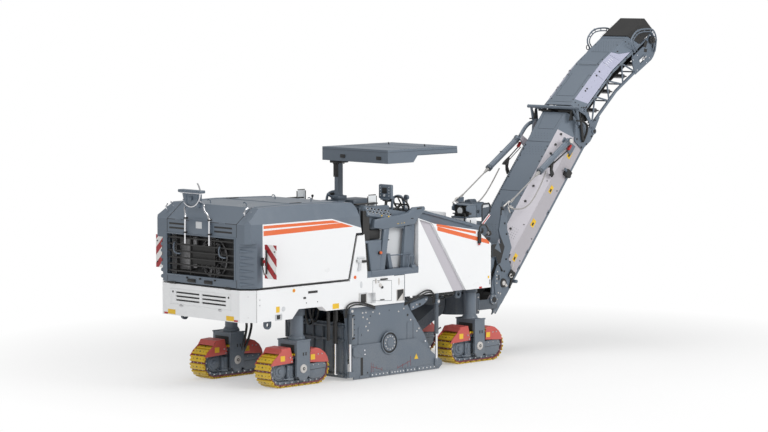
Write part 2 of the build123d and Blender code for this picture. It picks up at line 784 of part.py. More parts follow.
hopper_low, hopper_high, hopper_wall = 800.0, 1170.0, 20.0
hopper_half = bracket_outer + hopper_wall
with BuildPart() as receiving_hopper:
    for inset, low, mode in ((0, hopper_low, Mode.ADD), (hopper_wall, hopper_low + hopper_wall, Mode.SUBTRACT)):
        half = hopper_half - inset
        slab(
            [(slew_distance - 700 + inset, -250), (slew_distance - 600 + inset, inset - 400),
             (slew_distance - 400, -half), (slew_distance - 170 - inset, -half), (slew_distance - 170 - inset, half),
             (slew_distance - 400, half), (slew_distance - 600 + inset, 400 - inset),
             (slew_distance - 700 + inset, 250)],
            low,
            hopper_high + inset,
            mode=mode,
        )
    for _, side in sides:
        block((slew_distance - 180, luff_distance + 120), (side * bracket_outer, side * hopper_half), (860, 1040))
        across(luff_distance, luff_height, side * bracket_outer - 25, side * bracket_outer + 25, 60, mode=Mode.SUBTRACT)
save(receiving_hopper, "receiving_hopper")

# ---------------------------------------------------------------- lower conveyor
eye_u, eye_w = lower_length - 590, 240.0     # upper eye of the stay cylinders
stay_pin_radius = 25.0
ear_outer = conveyor_half_width + 30
post_radius = 25.0
post_y_offset = ear_outer + post_radius - 5
cross_tube_half = 640.0
cross_member_count = 5
cross_half = conveyor_half_width - conveyor_plate / 2
fold_u = lower_length + fold_ahead

with BuildPart() as conveyor_lower_frame:
    for _, side in sides:
        inner, outer = side * (conveyor_half_width - conveyor_plate), side * conveyor_half_width
        belt_plate(
            lower,
            [
                (-tail_length, chord_w),
                (lower_length - 60, chord_w),
                (lower_length, -190),
                (lower_length, lower_shoulder),
                (open_tail, lower_shoulder),
                (open_tail - 120, 50),
                (-tail_length, 50),
            ],
            inner,
            outer,
        )
        rod(on_belt(lower, 0, 0, inner), on_belt(lower, 0, 0, side * bracket_outer), luff_pin_radius)
        belt_rod(lower, (300, chord_w), (lower_length - 60, chord_w),
                 side * (conveyor_half_width - chord_radius - tube_inset), chord_radius)
        belt_plate(lower, [(eye_u - 130, -60), (eye_u + 90, -60), (eye_u + 45, eye_w + 45), (eye_u - 45, eye_w + 45)],
                   outer, side * ear_outer)
        rod(on_belt(lower, eye_u, eye_w, outer), on_belt(lower, eye_u, eye_w, side * (stay_y + 35)), stay_pin_radius)
        ear = [(-460, 20), (-460, -250), (-200, -335), (50, -335), (50, -230), (-20, -200), (-20, 20), (-100, 180),
               (-220, 180)]
        belt_plate(lower, [(fold_u + u, w) for u, w in ear], outer, side * ear_outer)
        rod(on_belt(lower, fold_u, chord_w, side * ear_outer), on_belt(lower, fold_u, chord_w, side * (inner * side - 30)),
            fold_pin_radius)
        belt_rod(lower, (fold_u - 170, 140), (fold_u + 27, 392), side * post_y_offset, post_radius)
    for index in range(cross_member_count):
        u = 350 + index * (lower_length - 500) / (cross_member_count - 1)
        belt_section(lower, u, u + 60, [(-cross_half, chord_w + 5), (cross_half, chord_w + 5), (cross_half, chord_w + 60),
                                      (-cross_half, chord_w + 60)])
    belt_drum(lower, fold_u + 27, 392, cross_tube_half, 32)
save(conveyor_lower_frame, "conveyor_lower_frame")


def panel_section(side, low, high):
    """(y, height) section of a slanted side panel between the shoulder and the cover's top."""
    return [
        (side * conveyor_half_width, low),
        (side * cover_half_width, high),
        (side * (cover_half_width - 10), high - cover_wall),
        (side * (conveyor_half_width - 30), low),
    ]


def top_section(high):
    """(y, height) section of a cover's flat top."""
    return [
        (-cover_half_width, high),
        (cover_half_width, high),
        (cover_half_width - 10, high - cover_wall),
        (10 - cover_half_width, high - cover_wall),
    ]


with BuildPart() as conveyor_lower_cover:
    belt_section(lower, cover_start, lower_length, top_section(lower_top))
    for _, side in sides:
        belt_section(lower, light_panel_end, lower_length, panel_section(side, lower_shoulder, lower_top))
save(conveyor_lower_cover, "conveyor_lower_cover")

with BuildPart() as conveyor_lower_panels:
    for _, side in sides:
        belt_section(lower, cover_start, light_panel_end, panel_section(side, lower_shoulder, lower_top))
save(conveyor_lower_panels, "conveyor_lower_panels")

with BuildPart() as conveyor_lower_belt:
    for w in (-150, 30):
        belt_plate(lower, [(60, w), (lower_length - 40, w), (lower_length - 40, w + belt_thickness),
                           (60, w + belt_thickness)], -belt_half, belt_half)
    for u in (60, lower_length - 100):
        belt_drum(lower, u, -50, conveyor_half_width - conveyor_plate, 100)
save(conveyor_lower_belt, "conveyor_lower_belt")

# ---------------------------------------------------------------- upper conveyor
upper_half = conveyor_half_width - 5         # 5 mm inside the folding ears
upper_plate = 20.0
upper = tilted_plane(on_belt(lower, fold_u, chord_w), upper_angle)
drop = math.radians(upper_angle - head_angle)
kink_u, kink_w, kink_lean = 1008.0, 48.0, 0.42      # the kink's line leans forward
head = tilted_plane(on_belt(upper, kink_u, kink_w), head_angle)
stretch = kink_lean * math.sin(drop) + math.cos(drop)
upper_start = 45.0
chord_low, chord_high, chord_low_radius, chord_high_radius = 78.0, 419.0, 30.0, 20.0
upper_shoulder, upper_top = 475.0, 623.0
cover_end = 1040.0              # end of the cover along the head's plane
carry_w, return_w = 390.0, 190.0


def kink(w):
    """(u, w) of the point where a line of the upper section turns down towards the head."""
    return (kink_u + (w - kink_w) * kink_lean, w)


def beyond(run, w):
    """(u, w) of a point this far along the head's plane on the line that starts at w."""
    high = (w - kink_w) * stretch
    return (kink_u + run * math.cos(drop) + high * math.sin(drop),
            kink_w - run * math.sin(drop) + high * math.cos(drop))


def bent(u, w):
    """(u, w) of a point measured along its own line, which turns at the kink."""
    run = u - kink(w)[0]
    if run <= 0:
        return (u, w)
    return (kink(w)[0] + run * math.cos(drop), w - run * math.sin(drop))


def bent_band(w_low, w_high, start, run):
    """Outline of a band of the upper section from start to a run along the head's plane."""
    return [(start, w_low), kink(w_low), beyond(run, w_low), beyond(run, w_high), kink(w_high), (start, w_high)]


def bent_shell(points, start, run):
    """Solid with a (y, w) section that follows the kink of the upper section."""
    lean = math.hypot(1, kink_lean)
    lean_up = Plane(origin=head.origin, x_dir=(0, 1, 0),
                    z_dir=Vector(0, 1, 0).cross(upper.y_dir + upper.x_dir * kink_lean))
    with BuildSketch(lean_up) as middle:
        with BuildLine():
            Polyline(*[(y, (w - kink_w) * lean) for y, w in points], close=True)
        make_face()
    first = section_face(on_belt(upper, start), upper.x_dir, points)
    last = section_face(on_belt(head, run), head.x_dir, [(y, (w - kink_w) * stretch) for y, w in points])
    loft(sections=[first, middle.sketch, last], ruled=True)


upper_nodes = (500.0, 940.0, 1475.0, 1836.0)     # truss nodes along the upper chord
lower_nodes = (744.0, 1246.0, 1673.0)
with BuildPart() as conveyor_upper_frame:
    for _, side in sides:
        inner, outer = side * (upper_half - upper_plate), side * upper_half
        for w, radius, run in ((chord_low, chord_low_radius, 1150), (chord_high, chord_high_radius, 1270)):
            y = side * (upper_half - radius - tube_inset)
            belt_rod(upper, (upper_start, w), kink(w), y, radius)
            belt_rod(upper, kink(w), beyond(run, w), y, radius)
        belt_plate(upper, bent_band(chord_high, upper_shoulder, upper_start, cover_end), side * (upper_half - 12), outer)
        web = [(upper_start + 30, chord_low)]
        for index, top in enumerate(upper_nodes):
            web.append((top, chord_high))
            web.extend((low, chord_low) for low in lower_nodes[index:index + 1])
        for start, end in zip(web, web[1:]):
            belt_rod(upper, bent(*start), bent(*end), side * (upper_half - 20), 16)
        end_plate = [(-30, 560), (40, 600), (40, 470), (150, 400), (110, 120), (330, 60), (330, 48), (50, -45), (-45, -40),
                     (-50, 40), (40, 150), (60, 350)]
        belt_plate(upper, end_plate, inner, outer)
        rod(on_belt(upper, 0, 0, side * (upper_half - 40)), on_belt(upper, 0, 0, outer), 50)
        rod(on_belt(upper, 0, 0, side * (upper_half - 50)), on_belt(upper, 0, 0, outer + side * 5),
            fold_pin_radius + running_gap, mode=Mode.SUBTRACT)
        with BuildSketch(beside(head, max(inner, outer))) as head_plate:
            with BuildLine():
                Polyline((1150, -20), (620, 0), (640, 160), (700, 330), (1180, 330), (1270, 400), (1400, 450), (1460, 400))
                ThreePointArc((1460, 400), (1405, 130), (1150, -20))
            make_face()
            with Locations((933, 137)):
                SlotOverall(170, 70, mode=Mode.SUBTRACT)
        extrude(head_plate.sketch, amount=upper_plate)
    for low in (upper_start + 30,) + lower_nodes:
        belt_drum(upper, *bent(low, chord_low), upper_half - chord_low_radius, 14)
save(conveyor_upper_frame, "conveyor_upper_frame")

with BuildPart() as conveyor_upper_cover:
    bent_shell(top_section(upper_top), upper_start, cover_end)
save(conveyor_upper_cover, "conveyor_upper_cover")

with BuildPart() as conveyor_upper_panels:
    for _, side in sides:
        bent_shell(panel_section(side, upper_shoulder, upper_top), upper_start, cover_end)
save(conveyor_upper_panels, "conveyor_upper_panels")

pulley_run, pulley_s = 1200.0, 220.0
drum_half, drum_shaft_radius = 450.0, 30.0
with BuildPart() as conveyor_upper_belt:
    for w in (return_w, carry_w):
        belt_plate(upper, bent_band(w, w + belt_thickness, upper_start + 60, pulley_run), -belt_half, belt_half)
    for plane, u, w, radius in ((head, pulley_run, pulley_s, 170), (upper, upper_start + 60, 300, 110)):
        belt_drum(plane, u, w, drum_half, radius)
        belt_drum(plane, u, w, upper_half - upper_plate, drum_shaft_radius)
save(conveyor_upper_belt, "conveyor_upper_belt")

hood_rest = (upper_top - kink_w) * stretch       # the cover's top in the head's plane
hood_edge = (upper_shoulder - kink_w) * stretch
hood_start, hood_end, hood_sheet = 1000.0, 1610.0, 20.0
with BuildPart() as head_hood:
    belt_section(
        head,
        hood_start,
        hood_end,
        [
            (-cover_half_width, hood_rest + hood_sheet),
            (cover_half_width, hood_rest + hood_sheet),
            (conveyor_half_width + 20, hood_edge),
            (conveyor_half_width, hood_edge),
            (cover_half_width, hood_rest),
            (-cover_half_width, hood_rest),
            (-conveyor_half_width, hood_edge),
            (-conveyor_half_width - 20, hood_edge),
        ],
    )
    belt_plate(head, [(hood_end, hood_rest + hood_sheet), (hood_end - 135, hood_edge), (hood_end - 135, hood_edge - 100),
                      (hood_end + 50, hood_edge - 100), (hood_end + 50, hood_rest + hood_sheet)],
               -conveyor_half_width - 30, conveyor_half_width + 30, mode=Mode.SUBTRACT)
save(head_hood, "head_hood")

# ---------------------------------------------------------------- stays
cylinder_eye = on_belt(lower, eye_u, eye_w)
anchor = Vector(station(anchor_distance), 0, anchor_height)
stay_direction = (anchor - cylinder_eye).normalized()
stay_length = (anchor - cylinder_eye).length
barrel_length = 980.0
stay_rod_radius, stay_rod_start = 30.0, 235.0

for name, side in sides:
    top = cylinder_eye + Vector(0, side * stay_y, 0)
    with BuildPart() as stay_cylinder:
        rod(top - Vector(0, 30, 0), top + Vector(0, 30, 0), 50)
        rod(top, top + stay_direction * barrel_length, 55)
        rod(top + stay_direction * 80, top + stay_direction * (barrel_length + 1), stay_rod_radius + running_gap,
            mode=Mode.SUBTRACT)
        rod(top - Vector(0, 60, 0), top + Vector(0, 60, 0), stay_pin_radius + running_gap, mode=Mode.SUBTRACT)
    save(stay_cylinder, f"stay_cylinder_{name}")

    with BuildPart() as stay_rod:
        rod(top + stay_direction * stay_rod_start, top + stay_direction * (stay_length - 60), stay_rod_radius)
    save(stay_rod, f"stay_rod_{name}")
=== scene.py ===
"""Looks of a compact cold planer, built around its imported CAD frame.

The machine stands on z = 0 and points along +X, with +Y to its left. Sizes are in metres.
A place along the machine is given as its distance forward from the rear face.
"""

from __future__ import annotations

import json
import logging
import math
import sys
from dataclasses import dataclass
from enum import Enum
from typing import Callable, Iterable, Sequence

import bmesh
import bpy
from mathutils import Matrix, Vector


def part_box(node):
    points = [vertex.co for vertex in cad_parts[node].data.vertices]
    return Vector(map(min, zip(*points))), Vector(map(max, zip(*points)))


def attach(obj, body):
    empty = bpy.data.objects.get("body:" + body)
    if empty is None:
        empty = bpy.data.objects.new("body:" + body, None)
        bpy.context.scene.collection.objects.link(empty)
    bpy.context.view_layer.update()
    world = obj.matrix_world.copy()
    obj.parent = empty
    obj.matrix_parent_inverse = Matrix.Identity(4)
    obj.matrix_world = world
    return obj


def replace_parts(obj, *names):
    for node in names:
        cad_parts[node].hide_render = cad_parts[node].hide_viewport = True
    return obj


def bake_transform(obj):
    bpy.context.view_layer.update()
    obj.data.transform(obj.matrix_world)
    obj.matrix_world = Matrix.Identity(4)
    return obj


log = logging.getLogger("planer")
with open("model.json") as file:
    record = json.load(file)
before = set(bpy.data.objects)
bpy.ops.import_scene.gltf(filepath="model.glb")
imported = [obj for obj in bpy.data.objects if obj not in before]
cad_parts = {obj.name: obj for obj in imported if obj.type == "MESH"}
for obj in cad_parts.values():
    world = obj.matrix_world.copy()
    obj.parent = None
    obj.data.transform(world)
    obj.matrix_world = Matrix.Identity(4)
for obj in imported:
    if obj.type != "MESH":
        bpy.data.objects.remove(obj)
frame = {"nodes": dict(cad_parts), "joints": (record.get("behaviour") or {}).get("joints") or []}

Point = Sequence[float]
Colour = tuple[float, float, float]
SIDES = (-1, 1)


# ---------------------------------------------------------------- shader maths
class Shade:
    """One socket of a node tree that takes part in Python arithmetic."""

    def __init__(self, recipe: "Recipe", socket: bpy.types.NodeSocket) -> None:
        """Wraps a socket of the recipe's tree."""
        self.recipe = recipe
        self.socket = socket

    def _math(self, operation: str, first: "Shade | float", second: "Shade | float") -> "Shade":
        """Adds a Math node that works on two values."""
        return self.recipe.node("ShaderNodeMath", {"operation": operation}, {0: first, 1: second})

    def __add__(self, other: "Shade | float") -> "Shade":
        """Sum of both."""
        return self._math("ADD", self, other)

    __radd__ = __add__

    def __sub__(self, other: "Shade | float") -> "Shade":
        """This less the other."""
        return self._math("SUBTRACT", self, other)

    def __rsub__(self, other: "Shade | float") -> "Shade":
        """The other less this."""
        return self._math("SUBTRACT", other, self)

    def __mul__(self, other: "Shade | float") -> "Shade":
        """Product of both."""
        return self._math("MULTIPLY", self, other)

    __rmul__ = __mul__

    def __truediv__(self, other: "Shade | float") -> "Shade":
        """This divided by the other."""
        return self._math("DIVIDE", self, other)

    def __gt__(self, other: "Shade | float") -> "Shade":
        """1 where this is greater."""
        return self._math("GREATER_THAN", self, other)

    def __lt__(self, other: "Shade | float") -> "Shade":
        """1 where this is less."""
        return self._math("LESS_THAN", self, other)

    def __mod__(self, other: "Shade | float") -> "Shade":
        """Remainder, never negative."""
        return self._math("FLOORED_MODULO", self, other)

    def __neg__(self) -> "Shade":
        """This with the other sign."""
        return self._math("MULTIPLY", self, -1.0)

    def power(self, exponent: float) -> "Shade":
        """This raised to a power."""
        return self._math("POWER", self, exponent)

    def size(self) -> "Shade":
        """This without its sign."""
        return self._math("ABSOLUTE", self, 0.0)

    def ramp(self, start: float, end: float) -> "Shade":
        """0 at start, 1 at end, straight between them and held beyond."""
        return self.recipe.node("ShaderNodeMapRange", {"clamp": True}, {0: self, 1: start, 2: end})


class Recipe:
    """A material's node tree, with its Principled shader."""

    def __init__(self, name: str) -> None:
        """Starts an empty material.

        Args:
            name: Name of the material.
        """
        self.material = bpy.data.materials.new(name)
        self.material.use_nodes = True
        self.tree = self.material.node_tree
        self.tree.nodes.clear()
        self.output = self.tree.nodes.new("ShaderNodeOutputMaterial")
        self.shader = self.tree.nodes.new("ShaderNodeBsdfPrincipled")
        self.tree.links.new(self.shader.outputs[0], self.output.inputs[0])
        self.place = self.tree.nodes.new("ShaderNodeTexCoord").outputs["Object"]

    def node(self, kind: str, settings: dict | None = None, sockets: dict | None = None,
             out: int | str = 0) -> Shade:
        """Adds any node.

        Args:
            kind: The node's Blender type.
            settings: Its properties, set first.
            sockets: Values or links of its inputs, by index or name.
            out: The output that is used further.

        Returns:
            That output.
        """
        made = self.tree.nodes.new(kind)
        for name, value in (settings or {}).items():
            setattr(made, name, value)
        for name, value in (sockets or {}).items():
            self.feed(made.inputs[name], value)
        return Shade(self, made.outputs[out])

    def feed(self, socket: bpy.types.NodeSocket, value: object) -> None:
        """Links or sets one input socket.

        Args:
            socket: The input.
            value: A Shade, a socket, a number or a colour.
        """
        if isinstance(value, Shade):
            self.tree.links.new(value.socket, socket)
        elif isinstance(value, bpy.types.NodeSocket):
            self.tree.links.new(value, socket)
        elif socket.type == "RGBA":
            socket.default_value = (*value, 1.0)
        else:
            socket.default_value = value

    def axes(self) -> tuple[Shade, Shade, Shade]:
        """Object coordinates, split."""
        split = self.tree.nodes.new("ShaderNodeSeparateXYZ")
        self.tree.links.new(self.place, split.inputs[0])
        return tuple(Shade(self, split.outputs[i]) for i in range(3))

    def noise(self, scale: float, detail: float = 3.0, stretch: Point | None = None) -> Shade:
        """Noise over the object.

        Args:
            scale: Cells to a metre.
            detail: Octaves.
            stretch: Scale of each axis before the noise.

        Returns:
            A value about 0.5.
        """
        place = self.place
        if stretch:
            place = self.node("ShaderNodeMapping", {}, {"Vector": self.place, "Scale": stretch}).socket
        return self.node("ShaderNodeTexNoise", {}, {"Vector": place, "Scale": scale, "Detail": detail})

    def mix(self, factor: Shade | float, first: object, second: object) -> Shade:
        """Mixes two colours."""
        made = self.tree.nodes.new("ShaderNodeMix")
        made.data_type = "RGBA"
        for index, value in ((0, factor), (6, first), (7, second)):
            self.feed(made.inputs[index], value)
        return Shade(self, made.outputs[2])

    def bump(self, height: Shade, strength: float, distance: float) -> None:
        """Feeds a height into the shader's normal."""
        sockets = {"Height": height, "Strength": strength, "Distance": distance}
        self.feed(self.shader.inputs["Normal"], self.node("ShaderNodeBump", {}, sockets, "Normal"))

    def set(self, **values: object) -> None:
        """Sets the shader's sockets; underscores in a name stand for spaces."""
        for name, value in values.items():
            self.feed(self.shader.inputs[name.replace("_", " ")], value)


# ---------------------------------------------------------------- finishes
@dataclass(frozen=True)
class Paint:
    """Sprayed enamel, with a faint orange peel, uneven gloss and dust where the machine works."""

    name: str
    colour: Colour
    roughness: float = 0.34
    dust: float = 0.25
    dust_colour: Colour = (0.42, 0.39, 0.35)
    dust_height: float = 1.3

    def make(self) -> bpy.types.Material:
        """Builds the material."""
        recipe = Recipe(self.name)
        self.dress(recipe, self.colour)
        return recipe.material

    def dress(self, recipe: Recipe, colour: object) -> None:
        """Wires the enamel over a colour.

        Args:
            recipe: The material to wire.
            colour: A plain colour or a Shade with the pattern.
        """
        _, _, height = recipe.axes()
        cloud = recipe.noise(1.7, 4.0)
        speck = recipe.noise(38.0, 3.0)
        low = 1.0 - height.ramp(0.1, self.dust_height)
        dusty = (low * 0.8 + 0.08) * (cloud * speck * 3.2).ramp(0.35, 1.1) * self.dust
        shade = recipe.mix((cloud - 0.5).size() * 0.22, colour, tuple(c * 0.8 for c in self.colour))
        recipe.set(
            Base_Color=recipe.mix(dusty, shade, self.dust_colour),
            Roughness=(dusty * 0.5 + cloud * 0.16 + (self.roughness - 0.08)),
            Specular_IOR_Level=0.5,
            Coat_Weight=0.12,
            Coat_Roughness=0.12,
        )
        recipe.bump(recipe.noise(210.0, 2.0) + cloud * 0.5, 0.06, 0.002)


class Metal(Enum):
    """How a bare metal part was finished."""

    CHROME = (0.78, 0.13, 0.0)
    MACHINED = (0.56, 0.3, 0.35)
    WORN = (0.3, 0.46, 0.7)
    CAST = (0.085, 0.55, 1.0)

    def make(self) -> bpy.types.Material:
        """Builds the material."""
        grey, rough, stain = self.value
        recipe = Recipe(f"metal_{self.name.lower()}")
        streak = recipe.noise(9.0, 4.0, (1.0, 1.0, 9.0))
        spot = recipe.noise(34.0, 4.0)
        worn = (streak * spot * 2.4).ramp(0.4, 1.0) * stain
        clean, stained = (grey, grey, grey * 1.03), (grey * 0.42, grey * 0.37, grey * 0.33)
        recipe.set(
            Base_Color=recipe.mix(worn * 0.6, clean, stained),
            Metallic=0.95,
            Roughness=worn * 0.25 + rough,
        )
        recipe.bump(streak + spot * 0.6, 0.12 * max(stain, 0.15), 0.002)
        return recipe.material


@dataclass(frozen=True)
class Rubber:
    """Moulded rubber or black plastic with a fine grain."""

    name: str
    grey: float = 0.018
    roughness: float = 0.62
    grain: float = 90.0

    def make(self) -> bpy.types.Material:
        """Builds the material."""
        recipe = Recipe(self.name)
        scuff = recipe.noise(6.0, 5.0)
        fine = recipe.noise(self.grain, 3.0)
        dull = (scuff * fine * 3.0).ramp(0.5, 1.3)
        faded = tuple(self.grey * k + 0.03 for k in (1.2, 1.1, 1.0))
        recipe.set(
            Base_Color=recipe.mix(dull * 0.5, (self.grey,) * 3, faded),
            Roughness=dull * 0.2 + (self.roughness - 0.08),
        )
        recipe.bump(fine + scuff * 0.5, 0.25, 0.002)
        return recipe.material




# ---------------------------------------------------------------- modelling
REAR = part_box("rear_bumper")[0].x


def at(distance: float, y: float, height: float) -> Vector:
    """A point this far in front of the rear face."""
    return Vector((REAR + distance, y, height))


@dataclass(frozen=True)
class Grid:
    """A turned frame for drawing: u and v lie in its plane, n leaves it, backwards where mirror is −1."""

    origin: Vector
    along: Vector
    up: Vector
    mirror: int = 1

    @property
    def normal(self) -> Vector:
        """The direction that leaves the plane."""
        return self.along.cross(self.up).normalized() * self.mirror

    @property
    def matrix(self) -> Matrix:
        """From the plane's own coordinates to the machine's."""
        turned = Matrix((self.along.normalized(), self.up.normalized(), self.normal)).transposed().to_4x4()
        turned.translation = self.origin
        return turned

    def point(self, u: float, v: float, n: float = 0.0) -> Vector:
        """A point of the machine, given in the plane's coordinates."""
        return self.matrix @ Vector((u, v, n))


PROFILE = Grid(at(0.0, 0.0, 0.0), Vector((1, 0, 0)), Vector((0, 0, 1)))    # u forwards, v up, n to the right


OUTSIDE = 1.17    # half the body's width


def side_name(side: int) -> str:
    """Name of a side: −1 is the right one, 1 the left one."""
    return "left" if side > 0 else "right"


class Form:
    """A mesh under construction, shaped by bmesh operators.

    A point is given as (u, v, n) of the form's grid, or as a Vector of the machine.
    """

    def __init__(self, grid: Grid = PROFILE) -> None:
        """Starts with nothing.

        Args:
            grid: The frame that plain points are given in.
        """
        self.mesh = bmesh.new()
        self.grid = grid

    def spot(self, point: Point) -> Vector:
        """The machine's point for either way of giving it."""
        return point if isinstance(point, Vector) else self.grid.point(*point)

    def round_off(self, edges: list[bmesh.types.BMEdge], width: float) -> None:
        """Rounds some edges."""
        bmesh.ops.bevel(
            self.mesh, geom=edges, offset=width, offset_type="OFFSET", affect="EDGES", segments=2, profile=0.5,
            material=-1, clamp_overlap=True,
        )

    def soften(self, verts: Iterable[bmesh.types.BMVert], width: float) -> None:
        """Rounds all edges between some vertices."""
        self.round_off(list({edge for vert in verts for edge in vert.link_edges}), width)

    def block(self, low: Point, high: Point, soft: float = 0.0) -> None:
        """Box between two corners, along the axes of the frame that they are given in.

        Args:
            low: One corner.
            high: The opposite corner.
            soft: Radius of its edges.
        """
        first, last = Vector(low), Vector(high)
        place = Matrix.Translation((first + last) / 2) @ Matrix.Diagonal((*(abs(d) for d in last - first), 1.0))
        if not isinstance(low, Vector):
            place = self.grid.matrix @ place
        made = bmesh.ops.create_cube(self.mesh, size=1.0, matrix=place)["verts"]
        if soft:
            self.soften(made, soft)

    def rod(self, start: Point, end: Point, radius: float, tip: float | None = None, sides: int = 20,
            soft: float = 0.0) -> None:
        """Round bar or cone between two points.

        Args:
            start: Centre of its first end.
            end: Centre of its other end.
            radius: Radius at the start.
            tip: Radius at the end, if it differs.
            sides: Sides of its outline.
            soft: Radius of its rims.
        """
        first, last = self.spot(start), self.spot(end)
        axis = last - first
        place = Matrix.Translation((first + last) / 2) @ axis.to_track_quat("Z", "Y").to_matrix().to_4x4()
        made = bmesh.ops.create_cone(
            self.mesh, cap_ends=True, cap_tris=False, segments=sides, radius1=radius,
            radius2=radius if tip is None else tip, depth=axis.length, matrix=place,
        )["verts"]
        if soft:
            edges = {edge for vert in made for edge in vert.link_edges}
            self.round_off([edge for edge in edges if any(len(face.verts) > 4 for face in edge.link_faces)],
                           soft)

    def boss(self, u: float, v: float, near: float, far: float, radius: float, tip: float | None = None,
             sides: int = 20, soft: float = 0.0) -> None:
        """Round piece square to the grid.

        Args:
            u: Place of its axis.
            v: Place of its axis.
            near: Where it starts, along the grid's normal.
            far: Where it ends.
            radius: Radius at the start.
            tip: Radius at the end, if it differs.
            sides: Sides of its outline.
            soft: Radius of its rims.
        """
        self.rod((u, v, near), (u, v, far), radius, tip, sides, soft)

    def ball(self, centre: Point, radius: float, scale: Point = (1, 1, 1)) -> None:
        """Sphere or, with a scale along x, y and z, an egg."""
        place = Matrix.Translation(self.spot(centre)) @ Matrix.Diagonal((*scale, 1.0))
        bmesh.ops.create_uvsphere(self.mesh, u_segments=20, v_segments=12, radius=radius, matrix=place)

    def prism(self, outline: Sequence[Point], low: float, high: float, soft: float = 0.0) -> None:
        """Flat outline given a thickness.

        Args:
            outline: Corners, as (u, v) of the grid.
            low: Where the thickness starts, along the grid's normal.
            high: Where it ends.
            soft: Radius of all edges.
        """
        base = [self.mesh.verts.new(self.grid.point(u, v, low)) for u, v in outline]
        face = self.mesh.faces.new(base)
        grown = bmesh.ops.extrude_face_region(self.mesh, geom=[face])["geom"]
        moved = [part for part in grown if isinstance(part, bmesh.types.BMVert)]
        bmesh.ops.translate(self.mesh, verts=moved, vec=self.grid.normal * (high - low))
        if soft:
            self.soften(base + moved, soft)

    def ring(self, centre: Point, radius: float, thick: float, steps: int = 28, sides: int = 10,
             axis: Point | None = None, start: float = 0.0, sweep: float = math.tau) -> None:
        """Round bar bent to a ring or an arc.

        Args:
            centre: Its middle.
            radius: From the middle to the bar's centre line.
            thick: Radius of the bar.
            steps: Sections round the ring.
            sides: Sides of the bar.
            axis: The machine's direction that it turns about, if not the grid's normal.
            start: Angle where an arc starts.
            sweep: Angle it covers.
        """
        middle, about = self.spot(centre), Vector(axis or self.grid.normal).normalized()
        out = about.orthogonal().normalized()
        out.rotate(Matrix.Rotation(start, 3, about))
        turn = out.cross(about).to_track_quat("Z", "Y").to_matrix().to_4x4()
        made = bmesh.ops.create_circle(
            self.mesh, cap_ends=sweep < math.tau, segments=sides, radius=thick,
            matrix=Matrix.Translation(middle + out * radius) @ turn,
        )["verts"]
        geom = made + list({edge for vert in made for edge in vert.link_edges})
        geom += list({face for vert in made for face in vert.link_faces})
        bmesh.ops.spin(
            self.mesh, geom=geom, cent=middle, axis=about, angle=sweep, steps=steps,
            use_merge=sweep >= math.tau,
        )

    def path(self, points: Sequence[Point], radius: float, sides: int = 6, closed: bool = False) -> None:
        """Thin round bars from point to point.

        Args:
            points: Where they meet.
            radius: Their radius.
            sides: Sides of their outline.
            closed: Whether the last point is joined to the first.
        """
        ends = [*points[1:], points[0]] if closed else points[1:]
        for start, end in zip(points, ends):
            self.rod(start, end, radius, sides=sides)

    def frame(self, low: Point, high: Point, near: float, far: float, bar: float, post: float,
              soft: float = 0.0) -> None:
        """Upright rectangular frame in the side view.

        Args:
            low: Its lower rear corner as (u, v).
            high: Its upper front corner.
            near: Where its thickness starts.
            far: Where it ends.
            bar: Height of the lying bars.
            post: Width of the standing ones, which fit between the bars.
            soft: Radius of the edges.
        """
        (u0, v0), (u1, v1) = low, high
        for a, b, c, d in ((u0, v0, u1, v0 + bar), (u0, v1 - bar, u1, v1), (u0, v0 + bar, u0 + post, v1 - bar),
                           (u1 - post, v0 + bar, u1, v1 - bar)):
            self.block((a, b, near), (c, d, far), soft)

    def heads(self, places: Iterable[Point], radius: float = 0.013, height: float = 0.009,
              normal: Point | None = None) -> None:
        """Six-sided bolt heads.

        Args:
            places: Where they sit.
            radius: Half their width over corners.
            height: How far they stand proud.
            normal: The machine's direction that they point in, if not the grid's normal.
        """
        out = Vector(normal or self.grid.normal).normalized() * height
        for place in map(self.spot, places):
            self.rod(place - out * 0.3, place + out, radius, radius * 0.92, 6)

    def mirrored(self) -> None:
        """Adds the same on the machine's other side."""
        geom = list(self.mesh.verts) + list(self.mesh.edges) + list(self.mesh.faces)
        twin = bmesh.ops.duplicate(self.mesh, geom=geom)["geom"]
        verts = [part for part in twin if isinstance(part, bmesh.types.BMVert)]
        bmesh.ops.scale(self.mesh, vec=(1, -1, 1), verts=verts)

    def put(self, name: str, finish: bpy.types.Material, body: str, smooth: float = 0.6) -> bpy.types.Object:
        """Makes the object and lets it ride on a body.

        Args:
            name: The piece's name.
            finish: Its material.
            body: The body it moves with.
            smooth: Angle below which an edge is shaded smooth.

        Returns:
            The object.
        """
        bmesh.ops.recalc_face_normals(self.mesh, faces=self.mesh.faces)
        for face in self.mesh.faces:
            face.smooth = True
        for edge in self.mesh.edges:
            edge.smooth = edge.calc_face_angle(math.pi) < smooth
        data = bpy.data.meshes.new(name)
        self.mesh.to_mesh(data)
        self.mesh.free()
        data.materials.append(finish)
        made = bpy.data.objects.new(name, data)
        bpy.context.scene.collection.objects.link(made)
        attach(made, body)
        log.info("%s on %s: %d faces", name, body, len(data.polygons))
        return made


def led(points: Sequence[Point], side: int = -1, grid: Grid = PROFILE) -> list[Vector]:
    """Route on a side of the machine.

    Args:
        points: Its points on the right side, as (u, v, n) of the grid.
        side: −1 for the right side, 1 for the left.
        grid: The frame of the points.

    Returns:
        The points in the machine's coordinates.
    """
    flip = Vector((1, -side, 1))
    return [grid.point(*point) * flip for point in points]


